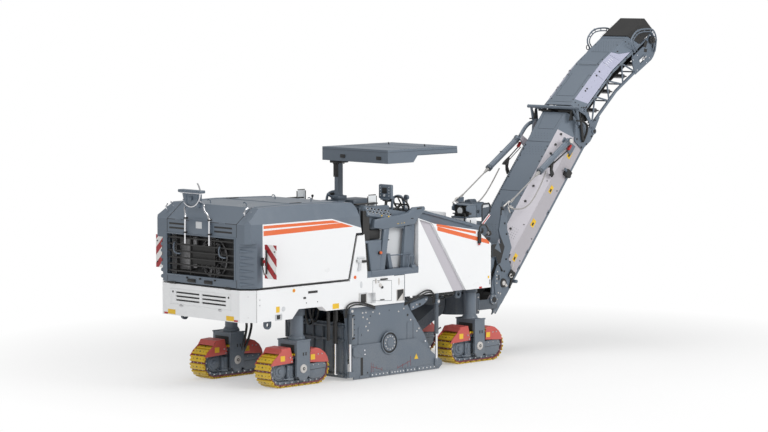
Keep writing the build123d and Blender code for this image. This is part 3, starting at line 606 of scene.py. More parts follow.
def tube(name: str, route: Sequence[Point], radius: float, finish: bpy.types.Material, body: str = "",
         sides: int = 4) -> bpy.types.Object:
    """A bent tube or held hose, smooth along its route.

    Args:
        name: The piece's name.
        route: Points it is led by.
        radius: Its radius.
        finish: Its material.
        body: The body it moves with, if it is only one.
        sides: Bevel resolution of its round section.

    Returns:
        The object.
    """
    curve = bpy.data.curves.new(name, "CURVE")
    curve.dimensions = "3D"
    curve.bevel_depth = radius
    curve.bevel_resolution = sides
    curve.use_fill_caps = True
    spline = curve.splines.new("NURBS")
    spline.points.add(len(route) - 1)
    for point, place in zip(spline.points, route):
        point.co = (*place, 1.0)
    spline.order_u = 3
    spline.use_endpoint_u = True
    spline.resolution_u = 8
    draft = bpy.data.objects.new(name, curve)
    bpy.context.scene.collection.objects.link(draft)
    data = bpy.data.meshes.new_from_object(draft.evaluated_get(bpy.context.evaluated_depsgraph_get()))
    bpy.data.objects.remove(draft)
    data.name = name
    data.materials.clear()
    data.materials.append(finish)
    made = bpy.data.objects.new(name, data)
    bpy.context.scene.collection.objects.link(made)
    if body:
        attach(made, body)
    log.info("%s on %s: %d faces", name, body or "two bodies", len(data.polygons))
    return made


# ---------------------------------------------------------------- studio
@dataclass(frozen=True)
class Studio:
    """Floor, lamps and camera."""

    aim_distance: float = -0.313
    aim_y: float = -4.658
    aim_height: float = 3.202
    reach: float = 47.516
    yaw: float = math.radians(45.15)
    pitch: float = math.radians(4.762)
    lens: float = 142.71
    sensor: float = 36.0
    floor_radius: float = 700.0
    shade_radius: float = 9.0

    def camera(self) -> None:
        """Sets the camera at the machine's right rear."""
        ahead = Vector((
            math.sin(self.yaw) * math.cos(self.pitch),
            math.cos(self.yaw) * math.cos(self.pitch),
            -math.sin(self.pitch),
        ))
        data = bpy.data.cameras.new("camera")
        data.sensor_width = self.sensor
        data.lens = self.lens
        data.clip_end = 2000.0
        data.dof.use_dof = False
        made = bpy.data.objects.new("camera", data)
        made.location = at(self.aim_distance, self.aim_y, self.aim_height) - ahead * self.reach
        made.rotation_mode = "QUATERNION"
        made.rotation_quaternion = ahead.to_track_quat("-Z", "Y")
        bpy.context.scene.collection.objects.link(made)
        bpy.context.scene.camera = made

    def floor(self) -> None:
        """Lays a pale disc that keeps the machine's shadow and is white beyond it."""
        recipe = Recipe("studio_floor")
        x, y, _ = recipe.axes()
        away = (x * x + y * y).power(0.5)
        rays = recipe.tree.nodes.new("ShaderNodeLightPath")
        seen = Shade(recipe, rays.outputs["Is Camera Ray"])
        glint = Shade(recipe, rays.outputs["Is Glossy Ray"])
        bare = (1.0 - away.ramp(self.shade_radius * 0.5, self.shade_radius)) * 0.62
        recipe.set(Base_Color=(0.8, 0.8, 0.8), Roughness=0.9, Specular_IOR_Level=0.0)
        glow = recipe.node("ShaderNodeEmission", {}, {"Color": (1.0, 1.0, 1.0), "Strength": 1.0})
        lit = recipe.node("ShaderNodeMixShader", {}, {0: seen * bare + (1.0 - seen) * (1.0 - glint), 1: glow})
        recipe.feed(lit.socket.node.inputs[2], recipe.shader.outputs[0])
        recipe.tree.links.new(lit.socket, recipe.output.inputs[0])
        form = Form()
        bmesh.ops.create_circle(form.mesh, cap_ends=True, segments=96, radius=self.floor_radius)
        data = bpy.data.meshes.new("studio_floor")
        form.mesh.to_mesh(data)
        form.mesh.free()
        data.materials.append(recipe.material)
        made = bpy.data.objects.new("studio_floor", data)
        bpy.context.scene.collection.objects.link(made)

    def lamp(self, name: str, place: Vector, aim: Vector, size: float, power: float) -> None:
        """Hangs one soft square lamp.

        Args:
            name: Its name.
            place: Where it hangs.
            aim: What it points at.
            size: Its side.
            power: Its power in watts.
        """
        data = bpy.data.lights.new(name, "AREA")
        data.size = size
        data.energy = power
        made = bpy.data.objects.new(name, data)
        made.location = place
        made.rotation_mode = "QUATERNION"
        made.rotation_quaternion = (aim - place).to_track_quat("-Z", "Y")
        bpy.context.scene.collection.objects.link(made)

    def light(self) -> None:
        """Hangs the lamps and sets the world, brighter where the camera sees it."""
        middle = at(4.5, 0.0, 1.6)
        self.lamp("key", at(9.0, -17.0, 12.0), middle, 9.0, 1900.0)
        self.lamp("fill", at(-14.0, -9.0, 8.0), middle, 11.0, 900.0)
        self.lamp("top", at(4.0, 2.0, 17.0), middle, 12.0, 1300.0)
        world = bpy.data.worlds.new("studio_air")
        world.use_nodes = True
        tree = world.node_tree
        back = tree.nodes["Background"]
        rays = tree.nodes.new("ShaderNodeLightPath")
        level = tree.nodes.new("ShaderNodeMix")
        level.data_type = "FLOAT"
        level.inputs[2].default_value = 0.42
        level.inputs[3].default_value = 1.0
        tree.links.new(rays.outputs["Is Camera Ray"], level.inputs[0])
        tree.links.new(level.outputs[0], back.inputs["Strength"])
        back.inputs["Color"].default_value = (1.0, 1.0, 1.0, 1.0)
        bpy.context.scene.world = world

    def set(self) -> None:
        """Sets up everything."""
        self.camera()
        self.floor()
        self.light()
        bpy.context.scene.view_settings.view_transform = "Standard"


# ---------------------------------------------------------------- painted patterns
def either(*masks: Shade) -> Shade:
    """1 where any of some masks is 1, as long as they don't overlap."""
    return sum(masks[1:], masks[0])


@dataclass(frozen=True)
class Band:
    """A straight stripe seen from the side, from one distance to another."""

    start: float
    end: float
    low_start: float
    low_end: float
    width: float

    def mask(self, distance: Shade, height: Shade) -> Shade:
        """1 on the stripe.

        Args:
            distance: Distance from the rear face.
            height: Height over the ground.

        Returns:
            The mask.
        """
        slope = (self.low_end - self.low_start) / (self.end - self.start)
        above = height - (distance - self.start) * slope - self.low_start
        inside = (distance > self.start) * (distance < self.end)
        return inside * (above > 0.0) * (above < self.width)


@dataclass(frozen=True)
class Livery(Paint):
    """White enamel with a slate top and orange stripes below its slanting edge."""

    bands: tuple[Band, ...] = ()
    top: float = 9.0
    turn: float = 9.0
    fall: float = 0.0
    margin: float = 0.02

    def make(self) -> bpy.types.Material:
        """Builds the material."""
        recipe = Recipe(self.name)
        x, _, height = recipe.axes()
        distance = x - REAR
        past = distance.ramp(self.turn, self.turn + 1.0)
        edge = height + past * self.fall - self.top
        free = edge < -self.margin
        striped = either(*(band.mask(distance, height) for band in self.bands)) * free
        colour = recipe.mix(striped, self.colour, ORANGE)
        self.dress(recipe, recipe.mix(edge > 0.0, colour, SLATE))
        return recipe.material


@dataclass(frozen=True)
class Diagonals(Paint):
    """Red and white diagonals of a warning plate."""

    pitch: float = 0.27
    second: Colour = (0.82, 0.81, 0.8)

    def make(self) -> bpy.types.Material:
        """Builds the material."""
        recipe = Recipe(self.name)
        _, y, height = recipe.axes()
        along = (height + y.size()) % self.pitch
        red = along > self.pitch * 0.5
        self.dress(recipe, recipe.mix(red, self.second, self.colour))
        return recipe.material


@dataclass(frozen=True)
class Louvred(Paint):
    """Dark core behind a grille: fine fins with painted shade in the gaps between them."""

    fin: float = 0.012

    def make(self) -> bpy.types.Material:
        """Builds the material."""
        recipe = Recipe(self.name)
        _, y, height = recipe.axes()
        ridge = (y % self.fin) / self.fin
        row = (height % (self.fin * 4.0)) / (self.fin * 4.0)
        # deep marks the gaps between the fins; mixing them towards near-black paints their shade.
        deep = (ridge > 0.55) + (row > 0.8)
        self.dress(recipe, recipe.mix(deep.ramp(0.0, 1.0), self.colour, (0.004, 0.004, 0.005)))
        return recipe.material


@dataclass(frozen=True)
class Framed(Paint):
    """Light enamel on the lower conveyor's side plates, with slate tubes, ears and cross tube."""

    half: float = 0.5215
    low: float = -0.25
    high: float = 0.33

    def make(self) -> bpy.types.Material:
        """Builds the material."""
        recipe = Recipe(self.name)
        x, y, height = recipe.axes()
        above = (x - LOWER.origin.x) * LOWER.up.x + (height - LOWER.origin.z) * LOWER.up.z
        dark = (y.size() > self.half) + (above < self.low) + (above > self.high)
        self.dress(recipe, recipe.mix(dark > 0.5, self.colour, SLATE))
        return recipe.material


# ---------------------------------------------------------------- finishes of the frame
WHITE: Colour = (0.84, 0.85, 0.86)
SLATE: Colour = (0.118, 0.15, 0.19)
WARM: Colour = (0.5, 0.48, 0.52)
ORANGE: Colour = (0.76, 0.14, 0.03)
HOOD_BANDS = (Band(0.36, 2.6, 2.74, 2.74, 0.05), Band(0.36, 2.52, 2.62, 2.655, 0.085))
FRONT_BANDS = (Band(4.5, 5.51, 2.535, 2.335, 0.045), Band(4.52, 5.86, 2.455, 2.13, 0.075))


class Finishes:
    """All materials, made once."""

    def __init__(self) -> None:
        """Builds each material."""
        self.white = Paint("white_enamel", WHITE, 0.3, 0.16).make()
        self.slate = Paint("slate_enamel", SLATE, 0.42, 0.2).make()
        self.deep_slate = Paint("deep_slate_enamel", (0.06, 0.08, 0.105), 0.45, 0.3).make()
        self.warm = Paint("warm_grey_enamel", WARM, 0.4, 0.2).make()
        self.lilac = Paint("lilac_grey_enamel", (0.38, 0.39, 0.5), 0.4, 0.15).make()
        self.split = Framed("conveyor_frame_enamel", (0.43, 0.41, 0.44), 0.4, 0.2).make()
        self.rope = Paint("rope_grey", (0.3, 0.29, 0.28), 0.45, 0.2).make()
        self.hood = Livery("hood_livery", WHITE, 0.3, 0.1, bands=HOOD_BANDS, top=2.815, turn=1.94,
                           fall=0.277).make()
        self.front = Livery("front_livery", WHITE, 0.3, 0.12, bands=FRONT_BANDS).make()
        self.warning = Diagonals("warning_diagonals", (0.36, 0.015, 0.02), 0.35, 0.08).make()
        self.core = Louvred("radiator_core", (0.02, 0.021, 0.023), 0.6, 0.5).make()
        self.black = Rubber("black_plastic").make()
        self.rubber = Rubber("belt_rubber", 0.014, 0.75, 60.0).make()
        self.hose = Rubber("hose_rubber", 0.012, 0.5, 140.0).make()
        self.chrome = Metal.CHROME.make()
        self.machined = Metal.MACHINED.make()
        self.worn = Metal.WORN.make()
        self.cast = Metal.CAST.make()
        self.yellow = Paint("shoe_yellow", (0.7, 0.47, 0.015), 0.5, 0.16, dust_height=0.5).make()
        self.label = Paint("label_yellow", (0.8, 0.5, 0.02), 0.4, 0.05).make()
        self.red = Paint("marker_red", (0.45, 0.02, 0.02), 0.4, 0.1).make()
        self.guard = Paint("guard_red", (0.55, 0.085, 0.07), 0.45, 0.1).make()
        self.dark_red = Paint("shoe_backing", (0.2, 0.018, 0.03), 0.5, 0.3).make()
        self.orange = Paint("signal_orange", ORANGE, 0.35, 0.05).make()
        self.pale = Paint("pale_grey_enamel", (0.62, 0.64, 0.66), 0.35, 0.1).make()
        self.pale_metal = Paint("bare_hub", (0.6, 0.58, 0.56), 0.35, 0.3).make()
        self.glass = self._lens()

    @staticmethod
    def _lens() -> bpy.types.Material:
        """Clear lens of a lamp."""
        recipe = Recipe("lamp_lens")
        ribs = recipe.noise(60.0, 2.0)
        recipe.set(Base_Color=(0.75, 0.78, 0.8), Roughness=0.08, Coat_Weight=0.6)
        recipe.bump(ribs, 0.3, 0.002)
        return recipe.material


def dress_frame(finishes: Finishes) -> None:
    """Gives every CAD node that stays its material.

    Args:
        finishes: The materials.
    """
    worn = {
        finishes.white: ("main_frame", "rear_bumper", "station_base", "side_panels", "top_boxes"),
        finishes.hood: ("engine_hood",),
        finishes.front: ("front_body",),
        finishes.split: ("conveyor_lower_frame",),
        finishes.warm: ("conveyor_lower_panels",),
        finishes.lilac: ("conveyor_upper_panels",),
        finishes.cast: ("engine_block", "milling_drum"),
        finishes.core: ("radiator_pack",),
        finishes.rubber: ("conveyor_lower_belt", "conveyor_upper_belt", "head_hood"),
        finishes.warning: ("hazard_plates",),
        finishes.black: ("operator_controls", "operator_seats", "rear_grille"),
        finishes.machined: ("stay_rod_right", "stay_rod_left"),
        finishes.deep_slate: (
            "plate_rams", "bulkhead", "column_sleeves", "primary_conveyor", "receiving_hopper",
            "tie_down_eyes_rear",
            "tie_down_eyes_front",
        ),
    }
    chosen = {node: finish for finish, nodes in worn.items() for node in nodes}
    for name, node in frame["nodes"].items():
        finish = finishes.yellow if name.startswith("track_loop") else chosen.get(name, finishes.slate)
        for slot in node.material_slots:
            slot.material = finish
        log.info("%s dressed in %s", name, finish.name)


# ---------------------------------------------------------------- rear: cowl, bumper and flanks
@dataclass(frozen=True)
class Cowl:
    """Seams, badge panel, scoops, fan, tubes, dished bracket and corner fittings of the tilting rear cowl."""

    body: str = "hood"
    lid_edges: tuple[float, float] = (0.9, -0.84)
    brow: float = 2.82
    slots: tuple[float, float] = (2.745, 2.672)
    opening: tuple[float, float, float] = (0.84, 1.89, 2.57)
    rim: float = 0.03
    corner: float = 0.1075
    fan: tuple[float, float, float] = (0.2, -0.12, 2.2)
    tubes: tuple[tuple[float, float], ...] = ((0.325, 0.42), (-0.28, -0.04))
    hooks: tuple[float, float] = (0.66, -0.48)
    dish: tuple[float, float, float] = (-0.02, 0.21, 3.29)
    dish_radius: float = 0.235

    def face(self, finishes: Finishes) -> None:
        """Lid lines, slots, badge panel and the rim of the opening."""
        seams = Form()
        for n in self.lid_edges:
            seams.block((-0.002, 2.6, n - 0.004), (0.004, self.brow, n + 0.004))
            seams.block((-0.002, 1.76, n - 0.004), (0.004, 1.89, n + 0.004))
            seams.rod((-0.001, self.brow, n), (0.341, 3.081, n), 0.006, sides=6)
        seams.block((-0.003, 2.815, self.lid_edges[0]), (0.004, 2.823, self.lid_edges[1]))
        for side in SIDES:
            for v in self.slots:
                seams.block((-0.004, v - 0.016, side * 0.35), (0.01, v + 0.016, side * 0.79), 0.006)
        seams.put("cowl_seams", finishes.black, self.body)

        raised = Form(Grid(at(0.0, 0.0, 0.0), Vector((0, -1, 0)), Vector((0, 0, 1))))
        plan = ((-0.3, 2.6), (0.3, 2.6), (0.3, 2.76), (0.23, 2.85), (-0.24, 2.85), (-0.3, 2.76))
        raised.prism(plan, 0.0, 0.028, 0.012)
        for u in (0.55, -0.55):
            raised.block((u - 0.08, 2.805, -0.01), (u + 0.08, 2.832, 0.012), 0.006)
        half, low, high = self.opening
        wide, bottom, top = half + self.rim, low - self.rim, high + self.rim
        for u0, v0, u1, v1 in ((-half, bottom, half, low), (-half, high, half, top),
                               (-wide, bottom, -half, top),
                               (half, bottom, wide, top)):
            raised.block((u0, v0, -0.03), (u1, v1, 0.008), 0.004)
        raised.put("cowl_badge_panel", finishes.slate, self.body)
        badge = Form()
        badge.block((-0.036, 2.7, -0.075), (-0.026, 2.815, 0.075), 0.012)
        badge.put("cowl_bare_badge", finishes.pale, self.body)

    def scoops(self, finishes: Finishes) -> None:
        """Rows of air scoops on the slanted corners."""
        scoops = Form()
        for side in SIDES:
            middle = at(self.corner, side * (OUTSIDE - self.corner), 0.0)
            outward, along = Vector((-1, side, 0)).normalized(), Vector((1, side, 0)).normalized()
            for row in range(6):
                foot = middle + Vector((0, 0, 1.83 + row * 0.11))
                start = foot - along * 0.13 + outward * 0.004
                end = foot + along * 0.1 + outward * 0.002 - Vector((0, 0, 0.012))
                scoops.rod(start, end, 0.034, 0.006, 16)
            for height in (1.76, 2.44):
                edge = middle + Vector((0, 0, height))
                scoops.rod(edge - along * 0.14, edge + along * 0.14, 0.01, sides=8)
        scoops.put("cowl_scoops", finishes.slate, self.body)

    def handles(self, finishes: Finishes) -> None:
        """Handles, knobs and stops below the opening."""
        handles = Form()
        for n in (-0.22, 0.2):
            handles.block((-0.03, 1.795, n - 0.09), (0.002, 1.815, n + 0.09), 0.006)
            handles.block((-0.014, 1.775, n - 0.1), (0.002, 1.835, n + 0.1), 0.005)
        for n in (-0.33, 0.37, 0.0):
            handles.rod((-0.024, 1.85, n), (0.0, 1.85, n), 0.016, sides=14, soft=0.003)
        for side in SIDES:
            handles.block((-0.02, 1.72, side * 0.77), (0.0, 1.76, side * 0.62), 0.008)
        handles.put("cowl_handles", finishes.black, self.body)

    def cooling(self, finishes: Finishes) -> None:
        """Fan, its guard rings, and the cooler and pipe beside it."""
        fan = Form()
        hub, near = at(*self.fan), Vector((0.02, 0, 0))
        fan.ring(hub, 0.33, 0.014, 40, 8, (1, 0, 0))
        fan.rod(hub - near * 1.5, hub + near * 1.5, 0.08, sides=24, soft=0.01)
        for blade in range(9):
            turn = math.tau * blade / 9
            out = Vector((0.0, math.cos(turn), math.sin(turn)))
            fan.rod(hub + out * 0.07 + near, hub + out * 0.31 - near, 0.02, 0.05, 4)
        for ring in (0.12, 0.19, 0.26):
            fan.ring(hub - near * 2.5, ring, 0.005, 36, 6, (1, 0, 0))
        fan.block((0.17, 1.95, -0.42), (0.25, 2.5, -0.72), 0.02)
        fan.rod((0.2, 2.0, -0.33), (0.2, 2.52, -0.33), 0.05, sides=18)
        fan.put("cooling_fan", finishes.worn, self.body)

    def pipes(self, finishes: Finishes) -> None:
        """Bent tubes with their clips, and hooks before the grille."""
        for index, (y, top) in enumerate(self.tubes):
            route = [at(0.06, top, 3.1), at(0.02, top, 3.03), at(-0.045, y, 2.92), at(-0.05, y, 2.7),
                     at(-0.05, y, 2.43)]
            tube(f"cowl_tube_{index}", route, 0.016, finishes.chrome, self.body)
            grips = Form()
            for v in (2.86, 2.62):
                grips.block((-0.07, v - 0.014, -y - 0.022), (0.0, v + 0.014, -y + 0.022), 0.005)
            grips.put(f"cowl_tube_clips_{index}", finishes.black, self.body)
        for index, y in enumerate(self.hooks):
            bend = ((0.01, 0.0, 2.42), (-0.02, 0.0, 2.4), (-0.02, 0.01, 2.27), (-0.02, 0.1, 2.24),
                    (-0.02, 0.17, 2.25))
            route = [at(u, y - shift, height) for u, shift, height in bend]
            tube(f"tow_hook_{index}", route, 0.013, finishes.slate, self.body)

    def bracket(self, finishes: Finishes) -> None:
        """Dished bracket with its bright rim, above the cowl; drawn about the dish's centre."""
        centre = at(*self.dish)
        about = Grid(centre, Vector((1, 0, 0)), Vector((0, 0, 1)))
        rim = Form(about)
        rim.ring(centre, self.dish_radius, 0.013, 32, 8, (1, 0, 0), math.pi / 2, math.pi)
        rim.boss(0.0, 0.0, 0.26, -0.26, 0.016, sides=12)
        for n in (0.2, -0.2):
            rim.rod((0.12, -0.19, n), (0.0, -0.12, n), 0.012, sides=10)
        rim.put("dish_rim", finishes.chrome, self.body)
        bowl = Form(Grid(centre + Vector((0.01, 0, 0)), Vector((0, -1, 0)), Vector((0, 0, 1))))
        inner = self.dish_radius - 0.005
        angles = [math.pi + math.pi * step / 16 for step in range(17)]
        bowl.prism([(math.cos(angle) * inner, math.sin(angle) * inner) for angle in angles], -0.03, 0.0, 0.004)
        bowl.block((-0.28, 0.0, -0.07), (0.28, 0.05, 0.06), 0.012)
        bowl.block((-0.04, -0.13, 0.01), (0.04, -0.06, 0.045), 0.01)
        for u in (-0.24, -0.08, 0.08, 0.24):
            bowl.boss(u, 0.03, 0.065, 0.0, 0.018, sides=12)
        for u in (-0.14, 0.14):
            bowl.block((u - 0.03, -0.25, -0.09), (u + 0.03, 0.0, 0.01), 0.008)
        bowl.put("dish_bracket", finishes.slate, self.body)

    def corners(self, finishes: Finishes) -> None:
        """Hooks on the upper corners and arms of the warning plates."""
        hooks, arms = Form(), Form()
        for side in SIDES:
            n = side * 0.98
            hooks.ring((0.19, 3.01, n), 0.075, 0.011, 20, 8, (0, 1, 0), math.pi, math.pi * 1.05)
            hooks.rod((0.265, 2.91, n), (0.265, 3.02, n), 0.011, sides=10)
            hooks.rod((0.1, 3.02, n), (0.13, 2.95, n), 0.022, 0.014, 12)
            arms.block((0.29, 2.13, side * 1.175), (0.33, 2.27, side * 1.215), 0.008)
            arms.rod((0.3, 2.0, side * 1.3), (0.3, 2.4, side * 1.3), 0.014, sides=10)
            arms.heads([(0.326, v, side * n) for n in (1.272, 1.472) for v in (2.02, 2.38)], 0.012,
                       normal=(-1, 0, 0))
            arms.rod((0.31, 2.15, side * 1.19), (0.31, 1.98, side * 1.24), 0.008, sides=8)
        hooks.put("corner_hooks", finishes.chrome, self.body)
        arms.put("warning_plate_arms", finishes.black, self.body)

    def build(self, finishes: Finishes) -> None:
        """Makes all of it.

        Args:
            finishes: The materials.
        """
        for step in (self.face, self.scoops, self.handles, self.cooling, self.pipes, self.bracket,
                     self.corners):
            step(finishes)


@dataclass(frozen=True)
class Bumper:
    """Louvre frame, knobs, bare labels and seams of the bumper."""

    body: str = "chassis"
    half: float = 0.76
    low: float = 1.37
    high: float = 1.64
    bar: float = 0.012
    louvres: tuple[float, ...] = (1.45, 1.515, 1.58)

    def build(self, finishes: Finishes) -> None:
        """Makes all of it.

        Args:
            finishes: The materials.
        """
        white, dark, knobs, labels, markers = Form(), Form(), Form(), Form(), Form()
        for v in (self.low, self.high - self.bar):
            white.block((-0.008, v, -self.half), (0.0, v + self.bar, self.half), 0.003)
        for side in SIDES:
            white.block((-0.008, self.low, side * (self.half - self.bar)), (0.0, self.high, side * self.half),
                        0.003)
            for v in self.louvres:
                white.block((-0.006, v + 0.015, side * 0.02), (0.004, v + 0.021, side * 0.64))
                dark.block((0.022, v - 0.013, side * 0.032), (0.028, v + 0.013, side * 0.628))
            dark.rod((-0.004, 1.585, side * 0.7), (0.0, 1.585, side * 0.7), 0.018, sides=16)
            dark.block((0.198, 1.19, side * 1.1705), (0.203, 1.72, side * 1.172))
            dark.block((0.0, 1.722, side * 0.62), (0.1, 1.74, side * 0.77), 0.004)
            knobs.ball((-0.004, 1.36, side * 0.49), 0.03, (0.6, 1.7, 0.75))
            knobs.heads([(0.27, v, side * OUTSIDE) for v in (1.56, 1.47)], 0.012, 0.006, (0, -side, 0))
            knobs.heads([(0.1, v, side * 1.07) for v in (1.62, 1.27)], 0.008, 0.004, (-1, -side, 0))
            labels.block((-0.003, 1.2, side * 0.64), (0.0, 1.28, side * 0.83))
            markers.block((-0.004, 1.195, side * 0.835), (0.0, 1.225, side * 0.925))
        white.put("bumper_louvre_frame", finishes.white, self.body)
        dark.put("bumper_shadows", finishes.black, self.body)
        knobs.put("bumper_knobs", finishes.machined, self.body)
        labels.put("bumper_bare_labels", finishes.label, self.body)
        markers.put("bumper_red_markers", finishes.red, self.body)


@dataclass(frozen=True)
class Flanks:
    """Stickers, caps, slots, locks and door lines of the frame's sides, and the hood's top."""

    body: str = "chassis"
    door: tuple[tuple[float, float], ...] = ((0.29, 1.752), (2.335, 1.752), (2.515, 2.5), (2.68, 2.5))
    labels: tuple[tuple[float, float, float, float], ...] = (
        (0.68, 1.37, 0.04, 0.05), (2.03, 1.32, 0.075, 0.045), (1.05, 1.66, 0.026, 0.012),
    )

    def sides(self, finishes: Finishes) -> None:
        """Door line, openings, frames, caps, locks, bare labels and signal dots, drawn on the right."""
        near = OUTSIDE
        dark, pale, locks, labels, dots = Form(), Form(), Form(), Form(), Form()
        dark.path([(u, v, near) for u, v in self.door], 0.009)
        for u0, u1, v0, v1, lift, soft in (
            (1.38, 1.6, 1.585, 1.625, 0.006, 0.004), (1.27, 1.33, 1.5, 1.535, 0.006, 0.004),
            (0.655, 0.73, 1.205, 1.28, 0.008, 0.006), (2.62, 2.76, 1.325, 1.475, 0.004, 0.004),
        ):
            dark.block((u0, v0, near - 0.002), (u1, v1, near + lift), soft)
        for u in (1.6, 1.34):
            dark.boss(u, 1.43, near - 0.002, near + 0.003, 0.01, sides=10)
        pale.frame((0.62, 1.19), (0.765, 1.295), near, near + 0.016, 0.015, 0.017, 0.003)
        pale.frame((2.6, 1.3), (2.78, 1.5), near, near + 0.012, 0.018, 0.017, 0.003)
        pale.ring((0.81, 1.37, near), 0.036, 0.006, 24, 6)
        pale.boss(0.81, 1.37, near - 0.005, near + 0.006, 0.032)
        pale.ball((2.64, 1.64, near), 0.05, (0.6, 0.2, 1.2))
        pale.boss(2.56, 2.06, near, near + 0.03, 0.045, 0.035, 20, 0.006)
        pale.block((2.54, 2.09, near), (2.72, 2.12, near + 0.03), 0.008)
        pale.rod((2.58, 1.9, near), (2.6, 2.04, near + 0.02), 0.04, 0.02, 14)
        locks.rod((2.66, 2.04, near), (2.74, 2.04, near + 0.02), 0.022, sides=14)
        locks.boss(2.53, 2.06, near - 0.005, near + 0.026, 0.014, sides=12)
        for u, v, wide, tall in self.labels:
            labels.block((u - wide, v - tall, near), (u + wide, v + tall, near + 0.0025))
        labels.boss(1.05, 1.66, near - 0.002, near + 0.0035, 0.032)
        dots.boss(1.05, 1.66, near - 0.001, near + 0.008, 0.018, sides=16)
        dots.boss(2.49, 1.78, near - 0.002, near + 0.006, 0.03)
        for form, name, finish in ((dark, "lines", finishes.black), (pale, "fittings", finishes.pale),
                                   (locks, "locks", finishes.black), (labels, "bare_labels", finishes.label),
                                   (dots, "red_dots", finishes.orange)):
            form.mirrored()
            form.put(f"side_{name}", finish, self.body)

    def top(self, finishes: Finishes) -> None:
        """Grips, ribs and lifting eyes on the hood."""
        grips, ribs = Form(), Form()
        for side in SIDES:
            grips.block((1.33, 3.088, side * 0.82), (1.57, 3.097, side * 0.76), 0.004)
            ribs.path([(0.4, 3.083, side * 0.9), (1.3, 3.091, side * 0.9), (2.48, 3.058, side * 0.9)], 0.008, 8)
            for u in (0.6, 2.1):
                ribs.ring((u, 3.085, side * 0.45), 0.045, 0.009, 16, 8, (1, 0, 0), 0.0, math.pi)
        ribs.block((1.28, 3.086, -0.9), (1.3, 3.096, 0.9), 0.003)
        grips.put("hood_top_grips", finishes.black, "hood")
        ribs.put("hood_top_ribs", finishes.slate, "hood")

    def build(self, finishes: Finishes) -> None:
        """Makes all of it.

        Args:
            finishes: The materials.
        """
        self.sides(finishes)
        self.top(finishes)


# ---------------------------------------------------------------- tracks
class End(Enum):
    """Which tracks a unit belongs to, with the centres of its track and its column."""

    REAR = (1.33, 1.443)
    FRONT = (5.722, 5.722)


